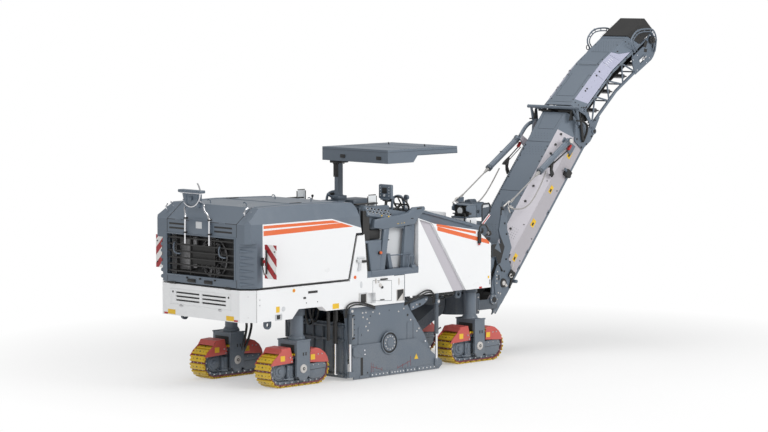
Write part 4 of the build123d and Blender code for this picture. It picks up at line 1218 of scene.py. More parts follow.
@dataclass(frozen=True)
class Track:
    """One steered crawler: shoes, chain, guards, fork plates, wheels and hoses."""

    end: End
    side: int
    gauge: float = 0.824
    length: float = 1.4
    height: float = 0.566
    half_width: float = 0.185
    shoes: int = 24
    shoe_half: float = 0.05
    shoe_depth: float = 0.036
    link_near: float = 0.1
    link_far: float = 0.142
    chain_depth: float = -0.08
    fork_face: float = 0.23
    hub_height: float = 0.3
    wheel_height: float = 0.283
    guard_behind: tuple[tuple[float, float], ...] = (
        (-0.735, 0.395), (-0.655, 0.49), (-0.53, 0.585), (-0.485, 0.625), (-0.475, 0.665), (-0.27, 0.675),
        (-0.235, 0.54), (-0.215, 0.46), (-0.215, 0.415),
    )
    guard_ahead: tuple[tuple[float, float], ...] = (
        (0.185, 0.39), (0.19, 0.56), (0.215, 0.61), (0.34, 0.625), (0.43, 0.6), (0.54, 0.525), (0.6, 0.44),
        (0.625, 0.36),
    )
    cover: tuple[tuple[float, float], ...] = (
        (0.12, 0.345), (0.575, 0.37), (0.6, 0.31), (0.565, 0.15), (0.5, 0.1), (0.25, 0.1), (0.16, 0.155),
    )

    @property
    def unit(self) -> str:
        """The unit's name."""
        return f"{self.end.name.lower()}_{side_name(self.side)}"

    @property
    def body(self) -> str:
        """The body that turns with it."""
        return f"track_{self.unit}"

    @property
    def y(self) -> float:
        """Its middle plane."""
        return self.side * self.gauge

    @property
    def fork(self) -> float:
        """Distance of the fork's middle."""
        centre, column = self.end.value
        return (centre - 0.105 + max(column + 0.09, centre + 0.15)) / 2

    @property
    def pitch(self) -> float:
        """From shoe to shoe round the outside."""
        return (2 * (self.length - self.height) + math.pi * self.height) / self.shoes

    def place(self, along: float) -> Grid:
        """Frame of the track's outer face.

        Args:
            along: How far round the loop, from the rear end of its top run.

        Returns:
            A grid with u along the loop, v across the machine and n outwards.
        """
        radius, straight = self.height / 2, self.length - self.height
        half = straight + math.pi * radius
        flip = 1 if along % (2 * half) < half else -1
        rest = along % half
        if rest < straight:
            ahead, above, turn = rest - straight / 2, radius, math.pi / 2
        else:
            turn = math.pi / 2 - (rest - straight) / radius
            ahead, above = straight / 2 + radius * math.cos(turn), radius * math.sin(turn)
        if flip < 0:
            turn += math.pi
        origin = at(self.end.value[0] + flip * ahead, self.y, radius + flip * above)
        return Grid(origin, Vector((math.sin(turn), 0, -math.cos(turn))), Vector((0, 1, 0)))

    def loop(self, finishes: Finishes) -> None:
        """Shoes, their backing and bolts, and the chain, in place of the plain loop."""
        forms = pads, backs, links, pins, holes = Form(), Form(), Form(), Form(), Form()
        half, wide, deep, chain = self.shoe_half, self.half_width, self.shoe_depth, self.chain_depth
        for index in range(self.shoes):
            grid, joint = self.place((index + 0.5) * self.pitch), self.place(index * self.pitch)
            for form in (pads, backs, links, holes):
                form.grid = grid
            pads.block((-half, -wide + 0.03, -deep), (half, wide - 0.03, -0.002), 0.006)
            for end in (-1, 1):
                near, far = end * (wide - 0.032), end * wide
                pads.block((-half + 0.002, near, -deep), (half - 0.002, far, -deep + 0.013))
                for lug in (-1, 1):
                    pads.block((lug * 0.014, near, -deep), (lug * half, far, -0.006), 0.003)
                inner, outer = end * self.link_near, end * self.link_far
                links.block((-0.06, inner, -0.104), (0.06, outer, -0.05), 0.008)
                links.rod(joint.point(0.0, inner, chain), joint.point(0.0, outer + end * 0.006, chain), 0.03,
                          sides=14)
                pins.rod(joint.point(0.0, outer, chain), joint.point(0.0, outer + end * 0.022, chain), 0.015,
                         0.012, 10)
                holes.boss(0.0, end * 0.088, -0.006, -0.001, 0.009, sides=8)
            holes.boss(0.0, 0.0, -0.006, -0.0008, 0.015, sides=12)
            backs.block((-half - 0.006, -wide + 0.008, -deep - 0.016),
                        (half + 0.006, wide - 0.008, -deep + 0.002))
            backs.grid = pins.grid = joint
            backs.block((-0.026, -wide + 0.02, -0.058), (0.026, wide - 0.02, -0.034), 0.004)
            for v in (-0.1, 0.0, 0.1):
                pins.boss(0.0, v, -0.036, -0.026, 0.009, sides=8)
        names = ("pads", "backing", "links", "pins", "bolt_holes")
        worn = (finishes.yellow, finishes.dark_red, finishes.slate, finishes.machined, finishes.black)
        for form, name, finish in zip(forms, names, worn):
            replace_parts(form.put(f"track_{name}_{self.unit}", finish, self.body), f"track_loop_{self.unit}")

    def face(self, outward: int) -> tuple[Grid, int]:
        """Side view of one side: u from the fork's middle, v the height and n outwards.

        Args:
            outward: 1 for the side away from the machine's middle, -1 for the other.

        Returns:
            The grid, and 1 where u leads forwards or -1.
        """
        flip = -self.side * outward
        return Grid(at(self.fork, self.y, 0.0), Vector((flip, 0, 0)), Vector((0, 0, 1))), flip

    def guards(self, finishes: Finishes) -> None:
        """Red guard plates before and behind the fork, with bare labels and bolts."""
        forms = plates, labels, bolts = Form(), Form(), Form()
        low, high = self.half_width + 0.014, self.half_width + 0.0165
        for outward in (1, -1):
            grid, flip = self.face(outward)
            for form in forms:
                form.grid = grid
            for outline in (self.guard_behind, self.guard_ahead):
                plates.prism([(flip * u, v) for u, v in outline], low - 0.01, low, 0.003)
            for u, v in ((-0.5, 0.46), (0.2, 0.43)):
                labels.block((flip * u, v, low), (flip * (u + 0.1), v + 0.09, high))
            spots = ((-0.285, 0.51), (-0.25, 0.44), (0.37, 0.515), (0.46, 0.515))
            bolts.heads([(flip * u, v, low) for u, v in spots], 0.014, 0.01)
        plates.grid = Grid(at(self.fork, self.y, 0.0), Vector((1, 0, 0)), Vector((0, 0, 1)))
        for u0, v0, u1, v1 in ((-0.53, 0.585, -0.475, 0.658), (-0.475, 0.658, -0.27, 0.668),
                               (0.19, 0.6, 0.34, 0.616)):
            plates.prism(((u0, v0), (u1, v1), (u1, v1 + 0.01), (u0, v0 + 0.01)), 0.004 - low, low - 0.004)
        plates.put(f"track_guards_{self.unit}", finishes.guard, self.body)
        labels.put(f"track_bare_labels_{self.unit}", finishes.label, self.body)
        bolts.put(f"track_guard_bolts_{self.unit}", finishes.machined, self.body)

    def carrier(self, finishes: Finishes) -> None:
        """Lips, slots, hubs, wheel covers and side frames of the fork and its beam, with painted shade in its
        slots and recesses and in the opening between the fork plates.
        """
        forms = slate, dark, pale = Form(), Form(), Form()
        half = self.fork - self.end.value[0] + 0.105
        face, hub = self.fork_face, self.hub_height
        for outward in (1, -1):
            grid, flip = self.face(outward)
            for form in forms:
                form.grid = grid
            slate.block((-half - 0.012, 0.765, face - 0.03), (half + 0.012, 0.79, face + 0.012), 0.005)
            slate.prism([(flip * u, v) for u, v in ((-0.12, 0.17), (-0.06, 0.1), (0.06, 0.1), (0.12, 0.17))],
                        face - 0.04, face, 0.004)
            for u in (0.0, 0.06):
                dark.block((flip * u - 0.013, 0.52, face), (flip * u + 0.013, 0.575, face + 0.002))
            pale.boss(0.0, hub, face, face + 0.016, 0.078, 0.07, 28, 0.004)
            dark.boss(0.0, hub, face + 0.014, face + 0.018, 0.028, sides=16)
            pale.boss(0.0, hub, face + 0.014, face + 0.022, 0.012, sides=12)
            self.wheels(slate, dark, pale, flip)
        # Thin black panels on the fork's rear and front faces: painted shade of the opening between the fork
        # plates.
        for u in (self.fork - half, self.fork + half):
            dark.block(at(u - 0.002, self.y - 0.17, 0.575), at(u + 0.002, self.y + 0.17, 0.71))
        column = self.end.value[1]
        slate.rod(at(column, self.y, 0.78), at(column, self.y, 0.83), 0.15, 0.135, 36, 0.01)
        slate.rod(at(column, self.y, 0.83), at(column, self.y, 0.85), 0.125, 0.12, 36, 0.004)
        slate.put(f"track_frame_{self.unit}", finishes.slate, self.body)
        dark.put(f"track_recesses_{self.unit}", finishes.black, self.body)
        pale.put(f"track_hubs_{self.unit}", finishes.pale_metal, self.body)

    def wheels(self, slate: Form, dark: Form, pale: Form, flip: int) -> None:
        """Idler, drive cover, side frame and hooks on one side of the beam.

        Args:
            slate: Takes the painted pieces.
            dark: Takes the shadows.
            pale: Takes the bare metal.
            flip: 1 where u leads forwards, otherwise -1.
        """
        high = self.wheel_height
        idler = flip * (self.end.value[0] - self.fork - 0.417)
        for radius, near, far, tip in ((0.165, 0.085, 0.125, 0.155), (0.1, 0.12, 0.14, 0.09),
                                       (0.045, 0.135, 0.16, 0.04)):
            slate.boss(idler, high, near, far, radius, tip, 32, 0.004)
        dark.ring((idler, high, 0.12), 0.135, 0.006, 32, 6)
        slate.prism([(flip * u, v) for u, v in self.cover], 0.09, 0.168, 0.01)
        slate.prism([(flip * u, v) for u, v in ((0.14, 0.36), (0.56, 0.375), (0.585, 0.27), (0.14, 0.255))],
                    0.16, 0.178, 0.004)
        dark.prism([(flip * u, v) for u, v in ((0.15, 0.253), (0.58, 0.268), (0.58, 0.263), (0.15, 0.248))],
                   0.168, 0.171)
        for u, v in ((-0.26, 0.13), (-0.19, 0.12)):
            slate.block((flip * u - 0.035, v, 0.09), (flip * u + 0.035, v + 0.24, 0.15), 0.008)
        slate.block((flip * -0.3, 0.115, 0.1), (flip * -0.16, 0.16, 0.165), 0.008)
        for u in (-0.33, -0.05):
            slate.ring((flip * u, 0.22, 0.15), 0.085, 0.013, 18, 8, sweep=math.pi)
        for u in (-0.06, 0.14, 0.34):
            slate.boss(flip * u, 0.14, 0.085, 0.1, 0.045)
        pale.heads([(flip * u, 0.335, 0.178) for u in (0.17, 0.28, 0.4, 0.53)], 0.009, 0.006)

    def hoses(self, finishes: Finishes) -> None:
        """Two drive hoses from the frame down to the fork's inner plate."""
        inner = self.gauge - 0.19
        for index, (u, bow) in enumerate(((0.1, 0.12), (0.17, 0.17))):
            start = self.fork + u
            points = ((start, 1.28, inner), (start, 1.16, inner), (start + bow, 0.95, inner - 0.05),
                      (start + bow * 0.6, 0.72, inner - 0.06), (start, 0.5, inner - 0.055),
                      (start, 0.42, inner))
            tube(f"track_hose_{index}_{self.unit}", led(points, self.side), 0.022, finishes.hose, self.body)

    def build(self, finishes: Finishes) -> None:
        """Makes the whole unit.

        Args:
            finishes: The materials.
        """
        for step in (self.loop, self.guards, self.carrier, self.hoses):
            step(finishes)


# ---------------------------------------------------------------- milling unit
@dataclass(frozen=True)
class Wall:
    """One side of the drum box: its name, its outer face's y and the sign of the direction outwards."""

    name: str
    y: float
    outward: int

    def view(self, shift: float = 0.0) -> Grid:
        """Side view of the face: u is the distance, v the height and n leads outwards."""
        origin = at(0.0, self.y + self.outward * shift, 0.0)
        return Grid(origin, Vector((1, 0, 0)), Vector((0, 0, 1)), -self.outward)


@dataclass(frozen=True)
class MillingBox:
    """Bolts, covers, rams' rods, skids, hoses and bare signs of the drum box."""

    drum: tuple[float, float] = (3.33, 0.58)
    cover: float = 0.19
    walls: tuple[Wall, ...] = (Wall("right", -1.13, -1), Wall("left", 0.35, 1))
    plate: float = 0.032
    rams: tuple[float, float] = (2.37, 4.5)
    bolts: tuple[tuple[float, float], ...] = (
        (2.71, 1.145), (2.79, 1.145), (2.96, 1.14), (3.12, 1.1), (3.59, 1.1), (3.72, 1.14), (2.82, 1.03),
        (2.87, 0.96),
        (2.79, 0.905), (2.84, 0.83), (2.72, 1.07), (3.89, 0.93), (4.045, 0.72), (4.1, 0.76),
    )
    holes: tuple[tuple[float, float, float], ...] = (
        (2.9, 1.076, 0.012), (3.36, 1.14, 0.011), (3.817, 1.02, 0.02), (2.65, 0.67, 0.016), (2.66, 0.765, 0.03),
    )
    bracket: tuple[tuple[float, float], ...] = (
        (3.86, 1.21), (4.3, 1.3), (4.31, 1.25), (4.19, 1.17), (4.05, 1.13), (3.89, 1.09),
    )
    skids: tuple[tuple[float, float, int], ...] = ((2.86, 3.3, 5), (3.34, 3.7, 5), (3.73, 3.98, 3),
                                                   (4.02, 4.48, 5))
    edge_bolts: tuple[tuple[float, float], ...] = ((2.724, 0.5), (2.73, 0.43), (4.22, 0.53), (4.34, 0.42),
                                                   (4.56, 0.1))
    catch: tuple[tuple[float, float], ...] = (
        (2.44, 0.56), (2.52, 0.585), (2.54, 0.47), (2.61, 0.44), (2.61, 0.4), (2.5, 0.39), (2.44, 0.43),
    )
    scale: tuple[tuple[float, float, float, float], ...] = (
        (2.89, 0.08, 2.89, 0.27), (2.935, 0.1, 2.935, 0.25), (2.89, 0.2, 3.15, 0.13), (3.02, 0.15, 3.02, 0.2),
        (3.15, 0.1, 3.15, 0.17), (3.86, 0.13, 3.86, 0.3), (3.79, 0.12, 3.79, 0.22), (3.54, 0.12, 3.86, 0.215),
        (3.54, 0.09, 3.54, 0.16), (3.66, 0.11, 3.66, 0.18),
    )
    scraper_rear: float = 2.35

    def fixed(self, finishes: Finishes, wall: Wall) -> None:
        """Bolts, guide rail, bearing cover and lifting bracket of a fixed side plate."""
        pale, dark, slate = (Form(wall.view()) for _ in range(3))
        pale.heads([(u, v, 0.0) for u, v in self.bolts], 0.016, 0.006)
        for u, v, radius in self.holes:
            dark.boss(u, v, -0.004, 0.003, radius, sides=16)
        dark.block((3.948, 0.6, 0.0), (3.954, 0.92, 0.002))
        slate.block((2.47, 0.72, 0.0), (2.545, 1.1, 0.0035), 0.001)
        dark.heads([(2.508, v, 0.003) for v in (1.05, 0.96, 0.87, 0.78)], 0.013, 0.004)
        pale.rod((2.424, 0.76, 0.046), (2.424, 1.08, 0.046), 0.011, sides=12)
        u, v = self.drum
        slate.ring((u, v, 0.046), self.cover, 0.012, 48, 10)
        slate.boss(u, v, 0.036, 0.05, 0.15, 0.145, 44, 0.004)
        slate.boss(u, v, 0.05, 0.062, 0.075, 0.07, 32, 0.004)
        dark.boss(u, v, 0.034, 0.039, self.cover, sides=44)
        turns = [math.tau * step / 12 for step in range(12)]
        pale.heads([(u + 0.115 * math.cos(turn), v + 0.115 * math.sin(turn), 0.048) for turn in turns], 0.012,
                   0.009)
        slate.prism(self.bracket, -0.02, 0.02, 0.005)
        pale.heads([(a, b, 0.02) for a, b in ((3.93, 1.15), (4.02, 1.19), (4.25, 1.26))], 0.014, 0.01)
        dark.boss(4.1, 1.185, 0.016, 0.024, 0.022, sides=18)
        for ram in self.rams:
            slate.ring((ram, 0.645, 0.04), 0.031, 0.0075, 24, 8, (0, 0, 1))
            slate.block((ram - 0.045, 1.17, 0.0), (ram + 0.045, 1.25, 0.09), 0.012)
            pale.boss(ram, 1.21, 0.085, 0.1, 0.024, sides=16)
            dark.rod((ram + 0.03, 0.72, 0.06), (ram + 0.08, 0.74, 0.07), 0.014, sides=12)
            dark.rod((ram + 0.03, 1.12, 0.06), (ram + 0.07, 1.13, 0.07), 0.014, sides=12)
        pale.put(f"box_bolts_{wall.name}", finishes.pale_metal, "chassis")
        dark.put(f"box_shadows_{wall.name}", finishes.black, "chassis")
        slate.put(f"box_covers_{wall.name}", finishes.slate, "chassis")

    def moving(self, finishes: Finishes, wall: Wall) -> None:
        """Skids, rods, slot, bare signs and scale of a lifting edge plate."""
        slate, pale, dark, marks, sign = (Form(wall.view(self.plate)) for _ in range(5))
        for rear, front, count in self.skids:
            slate.block((rear, 0.018, 0.0), (front, 0.1, 0.012), 0.004)
            step = (front - rear - 0.08) / (count - 1)
            pale.heads([(rear + 0.04 + k * step, 0.06, 0.012) for k in range(count)], 0.014, 0.008)
        slate.block((2.6, 0.02, 0.0), (2.84, 0.07, 0.01), 0.004)
        slate.prism(self.catch, 0.0, 0.02, 0.005)
        dark.block((2.632, 0.05, -0.002), (2.688, 0.38, 0.002))
        dark.boss(2.8, 0.105, -0.002, 0.003, 0.014, sides=14)
        dark.ring((4.53, 0.19, 0.002), 0.02, 0.006, 16, 6)
        pale.heads([(u, v, 0.0) for u, v in self.edge_bolts], 0.016, 0.01)
        for ram in self.rams:
            pale.rod((ram, 0.165, 0.04 - self.plate), (ram, 0.635, 0.04 - self.plate), 0.0223)
        for u0, v0, u1, v1 in self.scale:
            marks.rod((u0, v0, 0.0), (u1, v1, 0.0), 0.0045, sides=4)
        sign.prism(((3.95, 0.235), (4.05, 0.235), (4.0, 0.33)), 0.0, 0.003)
        for form, piece, finish in ((slate, "skids", finishes.slate), (pale, "bolts", finishes.chrome),
                                    (dark, "slots", finishes.black), (marks, "scale", finishes.dark_red),
                                    (sign, "bare_sign", finishes.label)):
            form.put(f"edge_{piece}_{wall.name}", finish, f"edge_plate_{wall.name}")

    def hoses(self, finishes: Finishes) -> None:
        """Hoses that are led over the box's right side."""
        n = 1.2
        for index, drop in enumerate((0.0, 0.035)):
            rear = ((2.235 + drop, 1.1, n - 0.02), (2.225 + drop, 1.2, n), (2.27 + drop, 1.31 - drop, n),
                    (2.42, 1.36 - drop, n + drop), (2.68, 1.325 - drop, n + drop),
                    (2.95, 1.24 - drop * 0.6, n - 0.02),
                    (3.0, 1.23 - drop, n - 0.06))
            tube(f"box_hose_rear_{index}", led(rear), 0.013, finishes.hose, "chassis")
            front = ((3.74, 1.235 - drop, n - 0.07), (3.84, 1.255, n - 0.02), (3.98, 1.35 - drop, n),
                     (4.2, 1.435 - drop, n + drop), (4.36, 1.41 - drop, n + drop), (4.4 + drop, 1.3, n),
                     (4.41 + drop, 1.18, n - 0.03))
            tube(f"box_hose_front_{index}", led(front), 0.013, finishes.hose, "chassis")

    def scraper(self, finishes: Finishes) -> None:
        """Ribs, rails and lifting rams behind the scraper blade, and the hoses above them."""
        ribs, pins, barrels = Form(), Form(), Form()
        rear = self.scraper_rear
        for n in (1.04, 0.8, 0.56, 0.32, 0.08, -0.16):
            ribs.block((rear - 0.045, 0.06, n - 0.012), (rear, 0.96, n + 0.012), 0.003)
        for v in (0.1, 0.7, 0.93):
            ribs.block((rear - 0.06, v - 0.02, 1.07), (rear, v + 0.02, -0.28), 0.005)
        for n in (0.95, -0.1):
            pins.rod((2.23, 0.12, n), (2.23, 0.66, n), 0.019, sides=18)
            pins.rod((2.23, 0.12, n), (2.3, 0.12, n), 0.02, sides=14)
            barrels.rod((2.23, 0.64, n), (2.23, 1.25, n), 0.036, sides=22, soft=0.004)
        barrels.rod((2.0, 0.72, 1.02), (2.0, 1.3, 1.02), 0.03, sides=18)
        barrels.rod((2.12, 1.05, 1.1), (2.12, 1.3, 1.1), 0.02, sides=14)
        ribs.put("scraper_ribs", finishes.deep_slate, "scraper")
        pins.put("scraper_ram_rods", finishes.chrome, "scraper")
        barrels.put("scraper_ram_barrels", finishes.black, "chassis")
        for index, (u, n, low) in enumerate(((1.86, 0.7, 1.02), (1.94, 0.5, 0.95), (1.98, 0.2, 1.05),
                                             (1.9, -0.2, 1.0))):
            hang = ((u, 1.34, n), (u, 1.2, n), (u + 0.08, low, n), (u + 0.2, low, n - 0.04),
                    (u + 0.27, 1.2, n - 0.05),
                    (u + 0.27, 1.3, n - 0.05))
            tube(f"under_hose_{index}", led(hang), 0.018, finishes.hose, "chassis")

    def build(self, finishes: Finishes) -> None:
        """Makes all of it.

        Args:
            finishes: The materials.
        """
        for wall in self.walls:
            self.fixed(finishes, wall)
            self.moving(finishes, wall)
        self.hoses(finishes)
        self.scraper(finishes)


# ---------------------------------------------------------------- operator's stand
@dataclass(frozen=True)
class Stand:
    """Side pods, control panels, screens, rails and door lines; what is on both sides is drawn on the right."""

    body: str = "chassis"
    console_side: float = 1.095
    sill: float = 1.855
    display_rear: float = 3.6
    rail: tuple[tuple[float, float], ...] = (
        (3.19, 2.56), (3.96, 2.605), (4.03, 2.69), (4.22, 2.85), (4.2, 2.9), (3.94, 2.895), (3.8, 2.81),
        (3.62, 2.785),
        (3.24, 2.765), (2.97, 2.74), (2.95, 2.6),
    )
    cabinet: tuple[tuple[float, float], ...] = ((2.9, 1.78), (3.12, 1.8), (3.14, 2.36), (2.81, 2.36))
    pod_bolts: tuple[tuple[float, float], ...] = ((2.98, 1.82), (3.2, 1.82), (3.9, 1.83), (3.86, 2.52),
                                                  (3.8, 1.93))
    door: tuple[tuple[float, float], ...] = ((2.92, 1.34), (3.38, 1.31), (3.38, 1.66), (2.92, 1.69))

    def pods(self, finishes: Finishes) -> None:
        """Rail, uprights, shelf and cabinet of each side pod, in place of the plain plate."""
        slate, deep, pale = Form(), Form(), Form()
        near, far, sill = OUTSIDE - 0.07, OUTSIDE, self.sill
        for outline, low, high, soft in (
            (self.rail, near, far, 0.01),
            (((3.2, 2.56), (3.335, 2.57), (3.215, sill), (3.09, sill)), near, far, 0.012),
            (((3.78, 2.58), (4.02, 2.6), (3.98, sill), (3.71, sill)), 1.04, 1.11, 0.012),
            (((2.89, 1.775), (4.045, 1.79), (4.045, 1.86), (2.89, 1.86)), 1.08, 1.18, 0.01),
            (self.cabinet, near, 1.165, 0.01),
            (((3.38, 1.86), (3.47, 1.86), (3.4, 2.13), (3.33, 2.11)), 1.0, 1.12, 0.01),
        ):
            slate.prism(outline, low, high, soft)
        slate.block((2.7, 2.34, 0.98), (3.14, 2.385, 1.168), 0.012)
        # Black blocks in the gaps beside, behind and under the pod's frames: painted shade of those recesses.
        deep.prism(((3.12, 1.87), (3.2, 1.87), (3.17, 2.35), (3.13, 2.35)), 1.05, 1.13)
        deep.block((2.72, 1.78, 1.0), (2.88, 2.9, 1.13))
        deep.block((2.9, 2.39, 0.9), (3.18, 2.56, 1.09), 0.02)
        pale.block((3.15, 1.86, 0.985), (3.9, 2.6, 1.0))
        for form in (slate, deep, pale):
            form.mirrored()
        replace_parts(slate.put("pod_frames", finishes.slate, self.body), "side_pods")
        deep.put("pod_recess_shade", finishes.black, self.body)
        pale.put("pod_inner_panels", finishes.pale, self.body)

    def pod_fittings(self, finishes: Finishes) -> None:
        """Grips, stop buttons, hinges and marks of the pods."""
        dark, marks, stops, rails = Form(), Form(), Form(), Form()
        n = OUTSIDE
        dark.prism(((4.0, 2.855), (4.12, 2.865), (4.14, 2.88), (4.02, 2.885)), n - 0.002, n + 0.002)
        dark.block((3.86, 2.7, n - 0.003), (3.92, 2.715, n + 0.003))
        dark.block((3.3, 2.36, 1.08), (3.32, 2.38, n + 0.002))
        dark.boss(3.08, 2.16, n - 0.01, n + 0.025, 0.03, sides=18)
        stops.boss(3.08, 2.165, n + 0.02, n + 0.05, 0.026, 0.024, 20, 0.004)
        for u0, u1, v in ((3.52, 3.56, 2.632), (3.62, 3.64, 2.636), (3.68, 3.71, 2.638)):
            marks.block((u0, v, n - 0.001), (u1, v + 0.008, n + 0.002))
        for points in (((3.79, 1.82, n), (3.81, 2.06, n)), ((3.91, 1.82, n), (3.93, 2.06, n)),
                       ((3.81, 2.06, n), (3.93, 2.06, n))):
            rails.rod(*points, 0.012, sides=10)
        rails.rod((3.36, 2.09, 1.12), (3.9, 2.09, 1.12), 0.011, sides=10)
        rails.block((3.86, 1.84, 1.14), (3.95, 1.9, 1.2), 0.01)
        rails.heads([(u, v, n) for u, v in self.pod_bolts], 0.012, 0.006)
        for form, piece, finish in ((dark, "slots", finishes.black), (marks, "marks", finishes.label),
                                    (stops, "stop_buttons", finishes.orange), (rails, "rails", finishes.slate)):
            form.mirrored()
            form.put(f"pod_{piece}", finish, self.body)

    def consoles(self, finishes: Finishes) -> None:
        """Panels with knobs, top bars, screens, windshields and the hoops before them."""
        tilt = Grid(at(2.8, -self.console_side, 2.9), Vector((1, 0, -0.16)), Vector((0, 0.5, 0.86)))
        forms = slate, knobs, rings, screens, stops = tuple(Form(tilt) for _ in range(5))
        slate.block((0.0, -0.1, -0.03), (0.62, 0.06, 0.03), 0.012)
        for row, v in enumerate((0.03, -0.03)):
            for column in range(7):
                u = 0.05 + column * 0.085 + row * 0.02
                knobs.boss(u, v, 0.03, 0.052 + 0.012 * ((column + row) % 2), 0.014, 0.011, 12)
                rings.boss(u, v, 0.026, 0.032, 0.021, sides=16)
        for column in (5, 3):
            stops.boss(0.09 + column * 0.085, -0.075, 0.03, 0.044, 0.012, sides=14)
        for form in forms:
            form.grid = PROFILE
        knobs.block((2.74, 2.985, 0.88), (3.25, 3.012, 0.97), 0.01)
        for u0, u1, v in ((3.0, 3.05, 2.775), (3.09, 3.16, 2.77)):
            knobs.block((u0, v, self.console_side - 0.004), (u1, v + 0.02, self.console_side + 0.006), 0.003)
        slate.block((2.98, 2.52, 0.9), (3.2, 2.8, 1.06), 0.02)
        slate.block((2.86, 2.86, 0.86), (3.5, 2.95, 1.0), 0.02)
        screens.block((3.09, 2.95, 0.885), (3.28, 3.13, 0.893), 0.003)
        for u0, v0, u1, v1 in ((3.08, 2.93, 3.08, 3.12), (3.29, 2.93, 3.29, 3.12), (3.1, 3.14, 3.27, 3.14)):
            knobs.rod((u0, v0, 0.889), (u1, v1, 0.889), 0.008, sides=8)
        knobs.block((3.74, 2.98, 0.7), (3.84, 3.06, 0.76), 0.012)
        knobs.rod((3.44, 2.88, 0.9), (3.5, 3.0, 0.93), 0.012, sides=10)
        knobs.ball((3.5, 3.01, 0.93), 0.024)
        hoop = ((3.74, 2.84, 0.82), (3.74, 2.98, 0.82), (3.8, 3.07, 0.8), (4.0, 3.08, 0.78), (4.1, 2.98, 0.76),
                (4.12, 2.84, 0.76))
        for side in SIDES:
            tube(f"console_hoop_{side_name(side)}", led(hoop, side), 0.024, finishes.slate, self.body)
        names = ("panels", "knobs", "bezels", "windshields", "buttons")
        worn = (finishes.slate, finishes.black, finishes.pale, finishes.glass, finishes.label)
        for form, piece, finish in zip(forms, names, worn):
            form.mirrored()
            form.put(f"console_{piece}", finish, self.body)

    def display(self, finishes: Finishes) -> None:
        """Bezel, screen and dial of the display, and the lamp and box at the stand's front."""
        bezel, screen, keys, lamp = Form(), Form(), Form(), Form()
        rear = self.display_rear
        bezel.block((rear - 0.014, 3.045, 0.64), (rear + 0.05, 3.295, 0.95), 0.02)
        bezel.block((rear - 0.03, 3.025, 0.7), (rear + 0.02, 3.055, 0.89), 0.008)
        screen.block((rear - 0.018, 3.14, 0.73), (rear - 0.012, 3.24, 0.85), 0.002)
        screen.rod((rear + 0.01, 3.05, 0.8), (rear + 0.02, 2.86, 0.8), 0.024, sides=14)
        screen.rod((rear - 0.01, 3.02, 0.84), (rear + 0.03, 3.02, 0.72), 0.02, sides=14)
        keys.rod((rear - 0.024, 3.105, 0.79), (rear - 0.012, 3.105, 0.79), 0.022)
        for n in (0.9, 0.69):
            for v in (3.1, 3.15, 3.2, 3.25):
                keys.block((rear - 0.017, v - 0.009, n - 0.009), (rear - 0.012, v + 0.009, n + 0.009), 0.002)
        lamp.rod((4.3, 3.02, 0.6), (4.36, 3.02, 0.6), 0.05, 0.04, 20, 0.006)
        lamp.rod((4.34, 2.82, 0.6), (4.34, 3.0, 0.6), 0.012, sides=10)
        lamp.block((4.05, 2.84, -0.45), (4.6, 2.93, -0.95), 0.02)
        bezel.put("display_bezel", finishes.slate, self.body)
        screen.put("display_screen", finishes.black, self.body)
        keys.put("display_keys", finishes.pale, self.body)
        lamp.put("stand_front_fittings", finishes.slate, self.body)

    def doors(self, finishes: Finishes) -> None:
        """Door lines, lock, handles and steps of the base."""
        lines, pale, dark = Form(), Form(), Form()
        n = OUTSIDE
        lines.path([(u, v, n) for u, v in self.door], 0.0035, 4, closed=True)
        lines.path(((3.7, 1.28, n), (3.7, 1.74, n), (3.44, 1.74, n)), 0.006)
        dark.block((3.1, 1.685, n - 0.002), (3.27, 1.71, n + 0.022), 0.006)
        dark.block((3.1, 1.335, n - 0.002), (3.2, 1.352, n + 0.01), 0.004)
        dark.block((3.51, 1.3, n - 0.002), (3.67, 1.485, n + 0.0015))
        dark.boss(3.14, 1.56, n, n + 0.02, 0.022, sides=16)
        pale.boss(3.1, 1.6, n, n + 0.014, 0.036, 0.03, 20, 0.004)
        pale.boss(3.06, 1.66, n, n + 0.012, 0.016, sides=14)
        pale.rod((3.1, 1.6, n + 0.008), (3.14, 1.55, n + 0.008), 0.012, sides=10)
        pale.rod((2.99, 1.64, n + 0.01), (2.99, 1.72, n + 0.01), 0.014, sides=12)
        for u in (2.58, 3.5):
            pale.frame((u, 1.29), (u + 0.18, 1.495), n - 0.002, n + 0.01, 0.01, 0.01, 0.002)
        pale.prism(((3.53, 1.3), (3.66, 1.3), (3.66, 1.42)), n, n + 0.003)
        pale.ball((3.56, 1.63, n), 0.05, (0.45, 0.2, 1.3))
        for form, piece, finish in ((lines, "lines", finishes.deep_slate),
                                    (pale, "fittings", finishes.pale_metal),
                                    (dark, "handles", finishes.black)):
            form.mirrored()
            form.put(f"stand_door_{piece}", finish, self.body)

    def build(self, finishes: Finishes) -> None:
        """Makes all of it.

        Args:
            finishes: The materials.
        """
        for step in (self.pods, self.pod_fittings, self.consoles, self.display, self.doors):
            step(finishes)


